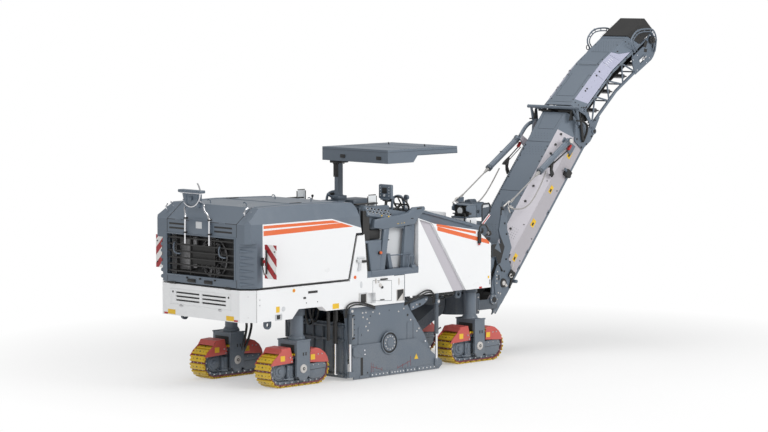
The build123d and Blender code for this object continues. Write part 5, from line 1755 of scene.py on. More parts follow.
@dataclass(frozen=True)
class Canopy:
    """Seams, lamps, rails and brackets of the roof and its post."""

    half: float = 0.82
    rear: float = 3.64
    front: float = 5.4
    low: float = 3.65
    high: float = 3.89

    def build(self, finishes: Finishes) -> None:
        """Makes the roof's and the post's fittings.

        Args:
            finishes: The materials.
        """
        seams, parts, post, collar = Form(), Form(), Form(), Form()
        half, rear, front, low, high = self.half, self.rear, self.front, self.low, self.high
        for side in SIDES:
            n = side * half
            seams.block((rear + 0.02, high - 0.045, n), (front - 0.02, high - 0.038, n + side * 0.003))
            seams.block((rear + 0.72, low + 0.12, n), (front - 0.01, low + 0.13, n + side * 0.002))
            parts.rod((3.9, high - 0.11, side * 0.45), (3.9, high - 0.14, side * 0.45), 0.09, 0.08, 24, 0.006)
            parts.ring((4.9, high, side * 0.45), 0.045, 0.01, 14, 8, (0, 1, 0), 0.0, math.pi)
        seams.block((rear - 0.003, high - 0.045, -half), (rear, high - 0.038, half))
        for u in (4.2, 4.8):
            seams.block((u, high - 0.001, 0.02 - half), (u + 0.008, high + 0.002, half - 0.02))
        seams.put("canopy_seams", finishes.deep_slate, "canopy")
        for n in (0.6, -0.3):
            parts.block((rear - 0.012, low + 0.06, n - 0.06), (rear, low + 0.12, n + 0.06), 0.006)
        parts.block((3.7, low - 0.05, -0.7), (3.98, low, -0.5), 0.012)
        for u, n in ((3.76, -0.54), (3.9, -0.54), (3.76, -0.66), (3.9, -0.66)):
            parts.rod((u, low - 0.07, n), (u, low - 0.04, n), 0.012, sides=10)
        parts.put("canopy_fittings", finishes.black, "canopy")
        post.block((3.755, 3.35, -0.66), (3.762, 3.62, -0.54), 0.002)
        for v in (3.38, 3.48, 3.58):
            post.rod((3.764, v, -0.6), (3.75, v, -0.6), 0.016, sides=12)
        post.put("canopy_post_rack", finishes.black, "canopy")
        collar.block((3.72, 2.95, -0.7), (3.94, 3.02, -0.5), 0.012)
        collar.rod((3.7, 2.98, -0.6), (3.6, 3.04, -0.62), 0.018, sides=12)
        collar.ball((3.59, 3.045, -0.62), 0.03)
        collar.put("canopy_collar", finishes.slate, "chassis")


# ---------------------------------------------------------------- front
@dataclass(frozen=True)
class Front:
    """Groove, lamp cage, guard, grips and marks of the front body; both sides are drawn on the right."""

    body: str = "chassis"
    groove: tuple[tuple[float, float], ...] = ((4.07, 2.674), (4.39, 2.59), (5.25, 1.352), (4.94, 1.352))
    groove_depth: float = 0.05
    cage: tuple[float, float, float, float] = (5.52, 5.79, 0.56, 0.93)
    shield: tuple[tuple[float, float], ...] = (
        (5.92, 2.5), (6.13, 2.68), (6.14, 2.79), (6.1, 2.84), (5.95, 2.83), (5.92, 2.8),
    )
    lamps: tuple[tuple[float, float, float], ...] = ((6.03, 2.3, 0.98), (5.97, 2.34, 0.84), (5.99, 2.33, 0.7))
    horns: tuple[tuple[float, float, float, float], ...] = (
        (5.96, 2.21, 1.06, 0.03), (6.03, 2.2, 0.92, 0.024), (5.94, 2.2, 0.78, 0.03),
    )

    def groove_floors(self, finishes: Finishes) -> None:
        """Grey floor of the slanting groove on both sides."""
        floor, depth = Form(), OUTSIDE - self.groove_depth
        floor.prism(self.groove, depth - 0.01, depth + 0.002)
        floor.mirrored()
        floor.put("groove_floors", finishes.warm, self.body)

    def boxes(self, finishes: Finishes) -> None:
        """Cover box and lamp cage on the lid, in place of the plain boxes."""
        white, slate, dark, lens = Form(), Form(), Form(), Form()
        rear, front, left, right = self.cage
        white.prism(((5.0, 2.649), (5.5, 2.529), (5.5, 2.68), (5.0, 2.74)), -0.35, 0.45, 0.012)
        white.prism(((rear, 2.524), (front, 2.459), (front, 2.6), (rear, 2.62)), left, right, 0.01)
        cheek = ((rear + 0.06, 2.6), (front, 2.6), (front, 2.83), (rear + 0.05, 2.83), (rear, 2.79),
                 (rear, 2.73),
                 (rear + 0.09, 2.7))
        for low in (right - 0.02, left):
            slate.prism(cheek, low, low + 0.02, 0.006)
        slate.block((rear + 0.04, 2.815, right), (front, 2.832, left), 0.006)
        slate.block((front - 0.02, 2.6, right), (front, 2.83, left), 0.006)
        slate.block((rear - 0.01, 2.59, right), (front, 2.62, left), 0.008)
        dark.block((rear + 0.08, 2.62, right - 0.02), (front - 0.02, 2.81, left + 0.02))
        dark.rod((rear + 0.1, 2.72, 0.75), (rear + 0.02, 2.72, 0.75), 0.085, 0.075, 26, 0.006)
        lens.rod((rear + 0.022, 2.72, 0.75), (rear + 0.016, 2.72, 0.75), 0.064, 0.058, 26)
        dark.block((rear - 0.01, 2.5, 0.9), (rear + 0.02, 2.68, 0.87), 0.006)
        dark.block((rear - 0.02, 2.66, 0.9), (rear + 0.02, 2.68, 0.6), 0.006)
        dark.block((rear + 0.06, 2.65, right + 0.002), (rear + 0.13, 2.69, right - 0.01), 0.003)
        dark.rod((5.62, 2.5, right + 0.004), (5.62, 2.56, right + 0.004), 0.008, sides=8)
        dark.heads([(5.05, 2.66, 0.452), (5.45, 2.6, 0.452)], 0.01, 0.006)
        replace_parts(white.put("lid_boxes", finishes.white, self.body), "top_boxes")
        slate.put("lamp_cage", finishes.slate, self.body)
        dark.put("lamp_cage_inside", finishes.black, self.body)
        lens.put("cage_lamp_lens", finishes.glass, self.body)

    def guard(self, finishes: Finishes) -> None:
        """Guard with its striped edge, work lamps and horn before the front face."""
        slope = Vector((0.2, 0, 0.17)).normalized()
        strip = Grid(at(5.915, -0.95, 2.47), slope, Vector((-slope.z, 0, slope.x)))
        plate, bars, pale, red, white = Form(), Form(), Form(), Form(strip), Form(strip)
        plate.prism(self.shield, 0.922, 0.932, 0.003)
        plate.prism(((5.94, 2.6), (6.12, 2.72), (6.12, 2.755), (5.94, 2.66)), 0.928, 0.933)
        pale.prism(((5.945, 2.76), (6.1, 2.77), (6.1, 2.81), (5.96, 2.81)), 0.93, 0.934)
        bars.path([(u, v, 0.935) for u, v in self.shield], 0.01, 8, closed=True)
        plate.block((5.79, 2.42, 0.92), (5.95, 2.52, 0.74), 0.01)
        plate.block((5.79, 2.66, 0.86), (5.94, 2.72, 0.8), 0.008)
        for u, v, n in self.lamps:
            bars.rod((u + 0.05, v, n), (u, v, n), 0.05, 0.046, 22, 0.006)
            pale.rod((u - 0.001, v, n), (u - 0.006, v, n), 0.036)
            bars.rod((u + 0.03, v, n), (5.88, v - 0.08, n), 0.014, sides=10)
        for u, v, n, size in self.horns:
            bars.rod((5.9, v, n), (u + 0.02, v, n), size, sides=14)
        plate.block((5.9, 2.1, 1.12), (6.0, 2.15, 0.6), 0.012)
        plate.block((5.9, 2.2, 0.62), (6.0, 2.46, 0.3), 0.012)
        plate.ball((6.5, 2.8, 0.02), 0.05, (1.0, 1.0, 0.6))
        plate.rod((6.45, 2.79, 0.1), (6.62, 2.79, 0.1), 0.055, 0.05, 24, 0.006)
        plate.block((6.4, 2.765, 0.24), (6.72, 2.785, -0.1), 0.008)
        plate.grid = strip
        plate.block((0.1, -0.02, -0.03), (0.14, 0.02, 0.0))
        white.block((0.0, -0.025, -0.006), (0.25, 0.025, 0.006))
        red.block((0.005, -0.009, 0.004), (0.245, 0.011, 0.0085))
        plate.put("front_guard", finishes.deep_slate, self.body)
        bars.put("front_guard_bars", finishes.black, self.body)
        pale.put("front_guard_light_panes", finishes.pale, self.body)
        white.put("front_strip_base", finishes.white, self.body)
        red.put("front_strip_stripe", finishes.red, self.body)

    def marks(self, finishes: Finishes) -> None:
        """Grab handle with its pipe, tie slot, bare labels and underside fittings."""
        dark, white, red, label, slate, steel = (Form() for _ in range(6))
        n = OUTSIDE
        dark.block((5.55, 2.16, n - 0.002), (5.612, 2.38, n + 0.045), 0.012)
        red.block((5.56, 2.13, n + 0.012), (5.6, 2.165, n + 0.03), 0.006)
        white.block((5.852, 1.388, n - 0.001), (5.898, 1.512, n + 0.004), 0.01)
        dark.block((5.865, 1.405, n - 0.001), (5.885, 1.495, n + 0.006), 0.006)
        label.block((5.825, 1.515, n - 0.001), (5.86, 1.56, n + 0.003))
        red.block((5.6, 1.352, n - 0.001), (5.67, 1.382, n + 0.003))
        slate.rod((4.24, 2.8, 1.05), (5.56, 2.475, 1.05), 0.022, sides=16)
        slate.block((5.79, 2.1, 1.165), (5.93, 2.14, 1.03), 0.008)
        dark.block((4.5, 1.28, 0.72), (5.2, 1.345, 1.05), 0.012)
        steel.heads([(u, 1.285, 1.0) for u in (4.56, 4.7, 4.84, 4.98, 5.12)], 0.02, 0.014, (0, 0, -1))
        pipe = ((5.58, 2.37, n + 0.022), (5.58, 2.46, n + 0.022), (5.68, 2.49, n), (5.86, 2.47, n * 0.95),
                (5.99, 2.36, n * 0.88))
        for side in SIDES:
            tube(f"front_pipe_{side_name(side)}", led(pipe, side), 0.014, finishes.hose, self.body)
            for index, (u, low) in enumerate(((4.6, 1.2), (4.74, 1.17), (4.9, 1.22))):
                hang = ((u, 1.36, 0.86), (u + 0.02, 1.26, 0.9), (u + 0.16, low, 0.92), (u + 0.32, 1.26, 0.9),
                        (u + 0.34, 1.37, 0.86))
                tube(f"front_hose_{side_name(side)}_{index}", led(hang, side), 0.014, finishes.hose, self.body)
        for form, piece, finish in ((dark, "grips", finishes.black), (white, "slot_frames", finishes.white),
                                    (red, "marks", finishes.red), (label, "bare_labels", finishes.label),
                                    (slate, "rails", finishes.slate), (steel, "bolts", finishes.pale_metal)):
            form.mirrored()
            form.put(f"front_{piece}", finish, self.body)

    def build(self, finishes: Finishes) -> None:
        """Makes all of it.

        Args:
            finishes: The materials.
        """
        for step in (self.groove_floors, self.boxes, self.guard, self.marks):
            step(finishes)


@dataclass(frozen=True)
class Bracket:
    """Plates, bolts, pivots and rope fittings of the slewing bracket; both sides are drawn on the right."""

    arm: float = 0.56
    body: str = "slew_console"
    webs: tuple[tuple[tuple[float, float], ...], ...] = (
        ((6.7, 2.04), (6.84, 2.04), (6.8, 2.2), (6.93, 1.97), (6.82, 1.68), (6.76, 1.66), (6.7, 1.8)),
        ((6.605, 2.035), (6.7, 2.035), (6.7, 1.805), (6.605, 1.805)),
    )
    stiffener: tuple[tuple[float, float], ...] = (
        (6.72, 1.65), (6.8, 1.62), (6.82, 1.42), (6.84, 1.2), (6.8, 1.06), (6.68, 1.06), (6.64, 1.3),
        (6.65, 1.5),
    )
    small_bolts: tuple[tuple[float, float], ...] = (
        (6.72, 1.53), (6.7, 1.46), (6.7, 1.4), (6.7, 1.32), (6.74, 1.14), (6.8, 1.12),
    )
    large_bolts: tuple[tuple[float, float], ...] = ((6.92, 1.52), (6.97, 1.74), (6.98, 2.2), (6.93, 2.4))
    pin: tuple[float, float] = (6.6, 1.03)
    anchor: tuple[float, float, float] = (6.95, 2.76, 0.64)
    ropes: tuple[tuple[float, float, float, float, float], ...] = (
        (-0.14, -0.04, 0.02, 0.05, 0.012), (0.0, 0.05, 0.06, -0.02, 0.012), (-0.02, -0.05, 0.03, -0.16, 0.012),
        (0.02, -0.06, 0.11, -0.07, 0.013),
    )
    tail_side: float = 0.53

    def plates(self, finishes: Finishes) -> None:
        """Shadowed webs and curved stiffeners between the arms and the slewing pin."""
        dark, slate, arm = Form(), Form(), self.arm
        for web in self.webs:
            dark.prism(web, arm - 0.001, arm + 0.002)
        slate.prism(((6.753, 2.09), (6.835, 1.865), (6.66, 1.96)), arm, arm + 0.005, 0.002)
        slate.prism(((6.56, 1.81), (6.72, 1.81), (6.68, 1.62), (6.6, 1.5), (6.56, 1.5)), 0.5, 0.52, 0.004)
        slate.prism(self.stiffener, arm, arm + 0.016, 0.004)
        dark.prism(((6.74, 1.46), (6.775, 1.47), (6.78, 1.39), (6.75, 1.36)), arm + 0.012, arm + 0.018)
        dark.prism(((6.815, 2.55), (6.845, 2.56), (6.85, 2.66), (6.83, 2.68), (6.815, 2.64)), arm - 0.001,
                   arm + 0.003)
        dark.rod((6.77, 1.64, arm + 0.012), (6.86, 1.53, arm + 0.012), 0.014, sides=10)
        dark.grid = Grid(at(6.4, -0.25, 0.0), Vector((0.2, -0.31, 0.0)).normalized(), Vector((0, 0, 1)))
        dark.block((0.03, 1.797, -0.004), (0.369, 2.043, 0.004))
        dark.mirrored()
        slate.mirrored()
        dark.put("bracket_webs", finishes.black, self.body)
        slate.put("bracket_stiffeners", finishes.slate, self.body)

    def fittings(self, finishes: Finishes) -> None:
        """Bolts, bearing covers and the rope ends at the anchors."""
        dark, pale, slate, arm = Form(), Form(), Form(), self.arm
        pale.heads([(u, v, arm + 0.014) for u, v in self.small_bolts], 0.015, 0.01)
        dark.heads([(u, v, arm) for u, v in self.large_bolts], 0.018, 0.012)
        dark.boss(6.88, 1.31, arm, arm + 0.03, 0.085, 0.078, 28, 0.006)
        pale.boss(6.88, 1.31, arm + 0.025, arm + 0.04, 0.045, 0.04, 22, 0.004)
        pale.rod((6.93, 1.28, arm + 0.015), (6.95, 1.24, arm + 0.03), 0.03, sides=16)
        u, v = self.pin
        slate.boss(u, v, arm + 0.02, arm + 0.05, 0.1, 0.092, 30, 0.006)
        dark.boss(u, v, arm + 0.05, arm + 0.06, 0.05, sides=22)
        turns = [math.tau * step / 6 for step in range(6)]
        pale.heads([(u + 0.075 * math.cos(turn), v + 0.075 * math.sin(turn), arm + 0.048) for turn in turns],
                   0.01, 0.008)
        u, v, n = self.anchor
        for u0, v0, u1, v1, radius in self.ropes:
            pale.rod((u + u0, v + v0, n), (u + u1, v + v1, n), radius, sides=12)
        pale.ring((u, v, n + 0.03), 0.04, 0.009, 20, 8)
        dark.rod((u - 0.16, v - 0.06, n - 0.04), (u - 0.1, v - 0.1, n - 0.04), 0.02, sides=12)
        for form in (dark, pale, slate):
            form.mirrored()
        dark.put("bracket_fittings", finishes.black, self.body)
        pale.put("bracket_bolts", finishes.pale_metal, self.body)
        slate.put("bracket_pivot_covers", finishes.slate, self.body)

    def tail(self, finishes: Finishes) -> None:
        """Belt tensioner and scraper rods at the conveyor's tail."""
        dark, pale, slate = Form(LOWER), Form(LOWER), Form(LOWER)
        n = self.tail_side
        dark.block((0.58, -0.2, n), (0.72, -0.06, n + 0.06), 0.012)
        dark.boss(0.66, -0.13, n, n + 0.09, 0.05, 0.045, 20, 0.005)
        dark.rod((0.58, -0.18, n + 0.04), (0.42, -0.24, n + 0.04), 0.02, sides=12)
        dark.rod((0.83, 0.03, n + 0.012), (0.68, -0.03, n + 0.012), 0.018, sides=12)
        pale.ring((0.6, -0.1, n + 0.075), 0.032, 0.01, 18, 8)
        pale.rod((0.72, -0.1, n + 0.03), (0.84, -0.06, n + 0.03), 0.009, sides=10)
        slate.boss(0.6, -0.28, n, n + 0.09, 0.032, sides=18, soft=0.004)
        for form, piece, finish in ((dark, "tensioners", finishes.black), (pale, "rings", finishes.pale_metal),
                                    (slate, "caps", finishes.slate)):
            form.mirrored()
            form.put(f"tail_{piece}", finish, self.body)

    def hopper(self, finishes: Finishes) -> None:
        """Edge bars and bolts of the receiving hopper."""
        bars, bolts = Form(), Form()
        bars.rod((6.225, 0.82, 0.578), (6.225, 1.16, 0.578), 0.01, sides=10)
        bolts.heads([(u, v, 0.582) for u in (6.03, 6.12, 6.2) for v in (0.86, 1.1)], 0.014, 0.01)
        bars.mirrored()
        bolts.mirrored()
        bars.put("hopper_bars", finishes.slate, self.body)
        bolts.put("hopper_bolts", finishes.pale_metal, self.body)

    def build(self, finishes: Finishes) -> None:
        """Makes all of it.

        Args:
            finishes: The materials.
        """
        for step in (self.plates, self.fittings, self.tail, self.hopper):
            step(finishes)


# ---------------------------------------------------------------- conveyors
def pivot(joint: str) -> Vector:
    """Where a joint turns while the machine rests."""
    return Vector(next(entry["pos_m"] for entry in frame["joints"] if entry["name"] == joint))


def tilted(origin: Vector, degrees: float) -> Grid:
    """Side view along a slope: u climbs forwards, v is square to it and n leads to the right."""
    turn = math.radians(degrees)
    return Grid(origin, Vector((math.cos(turn), 0.0, math.sin(turn))),
                Vector((-math.sin(turn), 0.0, math.cos(turn))))


LOWER = tilted(pivot("conveyor_luff"), 50.6)
UPPER = tilted(pivot("conveyor_fold"), 41.5)
HEAD = tilted(UPPER.point(1.008, 0.048), 32.0)


@dataclass(frozen=True)
class Housing:
    """Section of a conveyor's cover: a flat top between two slanted sides."""

    half: float
    shoulder: float
    cover_half: float
    top: float

    def side(self, t: float) -> tuple[float, float]:
        """(v, n) on the right slanted side, from its shoulder at 0 to the top at 1."""
        return self.shoulder + (self.top - self.shoulder) * t, self.half + (self.cover_half - self.half) * t

    def out(self, grid: Grid) -> Vector:
        """The direction that leaves the right slanted side."""
        rise, run = self.top - self.shoulder, self.half - self.cover_half
        return (grid.up * run + grid.normal * rise).normalized()


@dataclass(frozen=True)
class LowerConveyor:
    """Bolts, seams, bare labels and brackets of the lower conveyor; both sides are drawn on the right."""

    housing: Housing = Housing(0.52, 0.07, 0.3, 0.315)
    chord: float = -0.287
    body: str = "lower_conveyor"
    side_bolts: tuple[float, ...] = (1.4, 2.03, 2.38, 3.13, 3.34, 3.58)
    top_bolts: tuple[float, ...] = (1.3, 1.7, 2.1, 2.5, 2.89, 3.0, 3.15, 3.24)
    labels: tuple[float, ...] = (0.97, 1.75, 2.52, 3.33)
    lugs: tuple[float, ...] = (0.88, 1.24, 2.14, 2.96)
    end_bolts: tuple[tuple[float, float], ...] = ((3.62, -0.2), (3.75, -0.28), (3.95, -0.3), (3.66, 0.0),
                                                  (3.86, 0.1))
    horn: tuple[tuple[float, float], ...] = (
        (2.68, 0.12), (2.76, 0.11), (2.8, 0.2), (2.98, 0.29), (2.9, 0.32), (2.8, 0.35), (2.74, 0.35),
        (2.82, 0.29),
        (2.72, 0.2),
    )
    arm: tuple[tuple[float, float, float], ...] = (
        (9.09, 4.15, 0.56), (8.93, 4.14, 0.6), (8.8, 4.06, 0.62), (8.72, 3.95, 0.64), (8.66, 3.88, 0.64),
    )

    def cover(self, finishes: Finishes) -> None:
        """Bolts, seams, hatch, perforation and edge hinge of the cover."""
        bolts, seams, dots = Form(LOWER), Form(LOWER), Form(LOWER)
        top, out = self.housing.top, self.housing.out(LOWER)
        v, n = self.housing.side(0.7)
        bolts.heads([(u, v, n) for u in self.side_bolts], 0.026, 0.014, out)
        v, n = self.housing.side(0.15)
        bolts.heads([(u, v, n) for u in (1.6, 2.6, 3.5)], 0.012, 0.008, out)
        bolts.heads([(u, top, 0.27) for u in self.top_bolts], 0.013, 0.008, LOWER.up)
        bolts.mirrored()
        for u in (0.96, 2.2, 3.34):
            seams.block((u - 0.006, top - 0.002, -0.298), (u + 0.006, top + 0.004, 0.298), 0.002)
        for u0, n0, u1, n1 in ((3.64, -0.2, 3.64, 0.2), (3.64, 0.2, 3.98, 0.23), (3.64, -0.2, 3.98, -0.23)):
            seams.rod((u0, top, n0), (u1, top, n1), 0.004, sides=5)
        seams.rod((0.98, top + 0.004, -0.305), (3.3, top + 0.004, -0.305), 0.01, sides=8)
        for step in range(52):
            u = 0.99 + step * 0.0445
            seams.rod((u, top + 0.006, -0.3), (u + 0.02, top + 0.006, -0.3), 0.016, sides=8)
        for first, last in ((3.05, 3.3), (3.42, 3.6), (1.2, 1.5)):
            for row in range(int((last - first) / 0.055)):
                for column in range(6):
                    u, n = first + row * 0.055, -0.2 + column * 0.075 + (row % 2) * 0.036
                    dots.rod((u, top - 0.002, n), (u, top + 0.0015, n), 0.007, sides=8)
        v, n = self.housing.side(0.3)
        for row in range(5):
            for column in range(4):
                place = LOWER.point(1.25 + row * 0.05, v + column * 0.03, n - column * 0.027)
                dots.rod(place, place + out * 0.0015, 0.006, sides=8)
        bolts.put("lower_cover_bolts", finishes.black, self.body)
        seams.put("lower_cover_seams", finishes.deep_slate, self.body)
        dots.put("lower_cover_perforation", finishes.deep_slate, self.body)

    def sides(self, finishes: Finishes) -> None:
        """Bare labels, lugs, hinge caps and cable box of the upright sides."""
        signs, lugs, dark = Form(LOWER), Form(LOWER), Form(LOWER)
        half, chord = self.housing.half, self.chord
        for index, u in enumerate(self.labels):
            corner = 0.04 + 0.01 * (index % 2)
            signs.block((u - 0.075, -0.05 - corner, half), (u + 0.075, -0.05 + corner, half + 0.003))
            dark.block((u - 0.05, -0.07, half + 0.002), (u + 0.01, -0.03, half + 0.005))
        for u in self.lugs:
            lugs.block((u - 0.045, chord + 0.01, half - 0.01), (u + 0.045, chord + 0.05, half + 0.012), 0.006)
        dark.heads([(u, chord + 0.03, half + 0.008) for u in self.lugs], 0.016, 0.012)
        dark.heads([(u, v, half + 0.03) for u, v in self.end_bolts], 0.018, 0.012)
        dark.heads([(u, -0.2, half) for u in (1.0, 1.5, 2.6)], 0.012, 0.008)
        lugs.boss(4.06, chord, half + 0.03, half + 0.052, 0.062, 0.056, 28, 0.004)
        dark.boss(4.06, chord, half + 0.05, half + 0.06, 0.032)
        for form in (signs, lugs, dark):
            form.mirrored()
        dark.block((2.93, -0.25, half), (3.06, -0.12, half + 0.1), 0.012)
        lugs.block((2.97, -0.3, half), (3.02, -0.24, half + 0.06), 0.008)
        lugs.rod((3.0, -0.13, half + 0.06), (3.02, -0.06, half + 0.06), 0.022, sides=16)
        signs.put("lower_bare_labels", finishes.label, self.body)
        lugs.put("lower_lugs", finishes.slate, self.body)
        dark.put("lower_side_fittings", finishes.black, self.body)

    def bridge(self, finishes: Finishes) -> None:
        """Black stay brackets, the curved arm, the cross tube's caps and the folding gear."""
        dark, slate, red = Form(LOWER), Form(LOWER), Form(LOWER)
        dark.boss(2.81, 0.28, 0.51, 0.61, 0.022, sides=14)
        dark.rod((3.3, 0.14, 0.63), (2.86, 0.29, 0.59), 0.011, sides=10)
        dark.rod((3.34, 0.1, 0.6), (2.86, 0.26, 0.57), 0.008, sides=8)
        dark.prism(((3.86, 0.3), (4.05, 0.385), (4.04, 0.33), (3.93, 0.22)), 0.44, 0.46, 0.004)
        dark.rod((3.72, -0.12, 0.585), (4.0, 0.2, 0.585), 0.026, sides=16)
        dark.rod((4.0, 0.2, 0.585), (4.06, 0.28, 0.585), 0.012, sides=12)
        dark.boss(4.05, 0.33, 0.1, 0.4, 0.016, sides=12)
        red.block((3.3, 0.12, 0.6), (3.42, 0.165, 0.66), 0.012)
        slate.boss(4.087, 0.392, 0.64, 0.652, 0.036, 0.03, 20, 0.003)
        slate.rod((4.08, 0.36, 0.46), (3.9, 0.06, 0.53), 0.02, sides=14)
        for form in (dark, slate, red):
            form.mirrored()
        for n, inner in ((0.56, 0.5), (-0.56, -0.5)):
            dark.prism(self.horn, n - 0.01, n + 0.02, 0.003)
            dark.rod((2.72, 0.14, inner), (2.72, 0.14, n + 0.02), 0.02, sides=14)
        dark.put("stay_brackets", finishes.black, self.body)
        slate.put("bridge_caps", finishes.slate, self.body)
        red.put("stay_markers", finishes.red, self.body)
        tube("stay_arm", led(self.arm, 1), 0.036, finishes.slate, self.body, 6)
        for side in SIDES:
            for index, n in enumerate((0.56, 0.59)):
                route = led(((3.7, -0.15, n), (3.95, -0.1, n + 0.04), (4.02, 0.1, n + 0.04),
                             (3.9, 0.25, n + 0.01)),
                            side, LOWER)
                tube(f"fold_hose_{side_name(side)}_{index}", route, 0.012, finishes.hose, self.body)

    def build(self, finishes: Finishes) -> None:
        """Makes all of it.

        Args:
            finishes: The materials.
        """
        for step in (self.cover, self.sides, self.bridge):
            step(finishes)


@dataclass(frozen=True)
class Stay:
    """One stay of the lower conveyor: collars and clevis on the barrel, a thin rope for the plain rod."""

    side: int
    eye: tuple[float, float] = (3.44, 0.24)
    anchor: tuple[float, float] = (6.95, 2.76)
    offset: float = 0.64
    reach: float = 0.98
    barrel: float = 0.055
    hang: tuple[tuple[float, float, float], ...] = (
        (7.02, 2.67, 0.63), (7.25, 2.63, 0.63), (7.52, 2.69, 0.62), (7.8, 2.96, 0.61), (8.03, 3.3, 0.59),
    )

    def build(self, finishes: Finishes) -> None:
        """Makes the stay's fittings, rope and the hose that hangs beside it.

        Args:
            finishes: The materials.
        """
        name, out = side_name(self.side), Vector((0, self.side, 0))
        top = LOWER.point(*self.eye, -self.side * self.offset)
        foot = PROFILE.point(*self.anchor, -self.side * self.offset)
        way = (foot - top).normalized()
        collar, pin, rope = Form(), Form(), Form()
        collar.rod(top + way * (self.reach - 0.06), top + way * (self.reach + 0.004), self.barrel + 0.008,
                   sides=28, soft=0.004)
        collar.rod(top + way * 0.05, top + way * 0.11, self.barrel + 0.006, sides=28, soft=0.004)
        collar.rod(top + out * 0.03, top + out * 0.052, 0.058, sides=28, soft=0.004)
        collar.block(top + way * 0.5 + Vector((0, -0.02, 0.05)), top + way * 0.58 + Vector((0, 0.02, 0.075)),
                     0.006)
        pin.rod(top + out * 0.05, top + out * 0.075, 0.045, 0.04, 24, 0.004)
        rope.rod(top + way * 0.235, top + way * (self.reach + 0.05), 0.03, sides=24)
        rope.rod(top + way * (self.reach + 0.05), top + way * (self.reach + 0.13), 0.03, 0.016, 24)
        rope.rod(top + way * (self.reach + 0.1), foot - way * 0.1, 0.0125, sides=14)
        rope.rod(foot - way * 0.17, foot - way * 0.07, 0.018, 0.024, 18)
        for shift in (out * -0.018, out * 0.018):
            rope.rod(foot - way * 0.1 + shift, foot - way * 0.06 + shift, 0.014, sides=12)
        collar.put(f"stay_collars_{name}", finishes.deep_slate, f"stay_barrel_{name}")
        pin.put(f"stay_pins_{name}", finishes.pale_metal, f"stay_barrel_{name}")
        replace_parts(rope.put(f"stay_rope_{name}", finishes.rope, f"stay_rope_{name}"), f"stay_rod_{name}")
        route = led(self.hang, self.side)
        hose = tube(f"stay_hose_{name}", route, 0.0125, finishes.rope)
        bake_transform(hose)


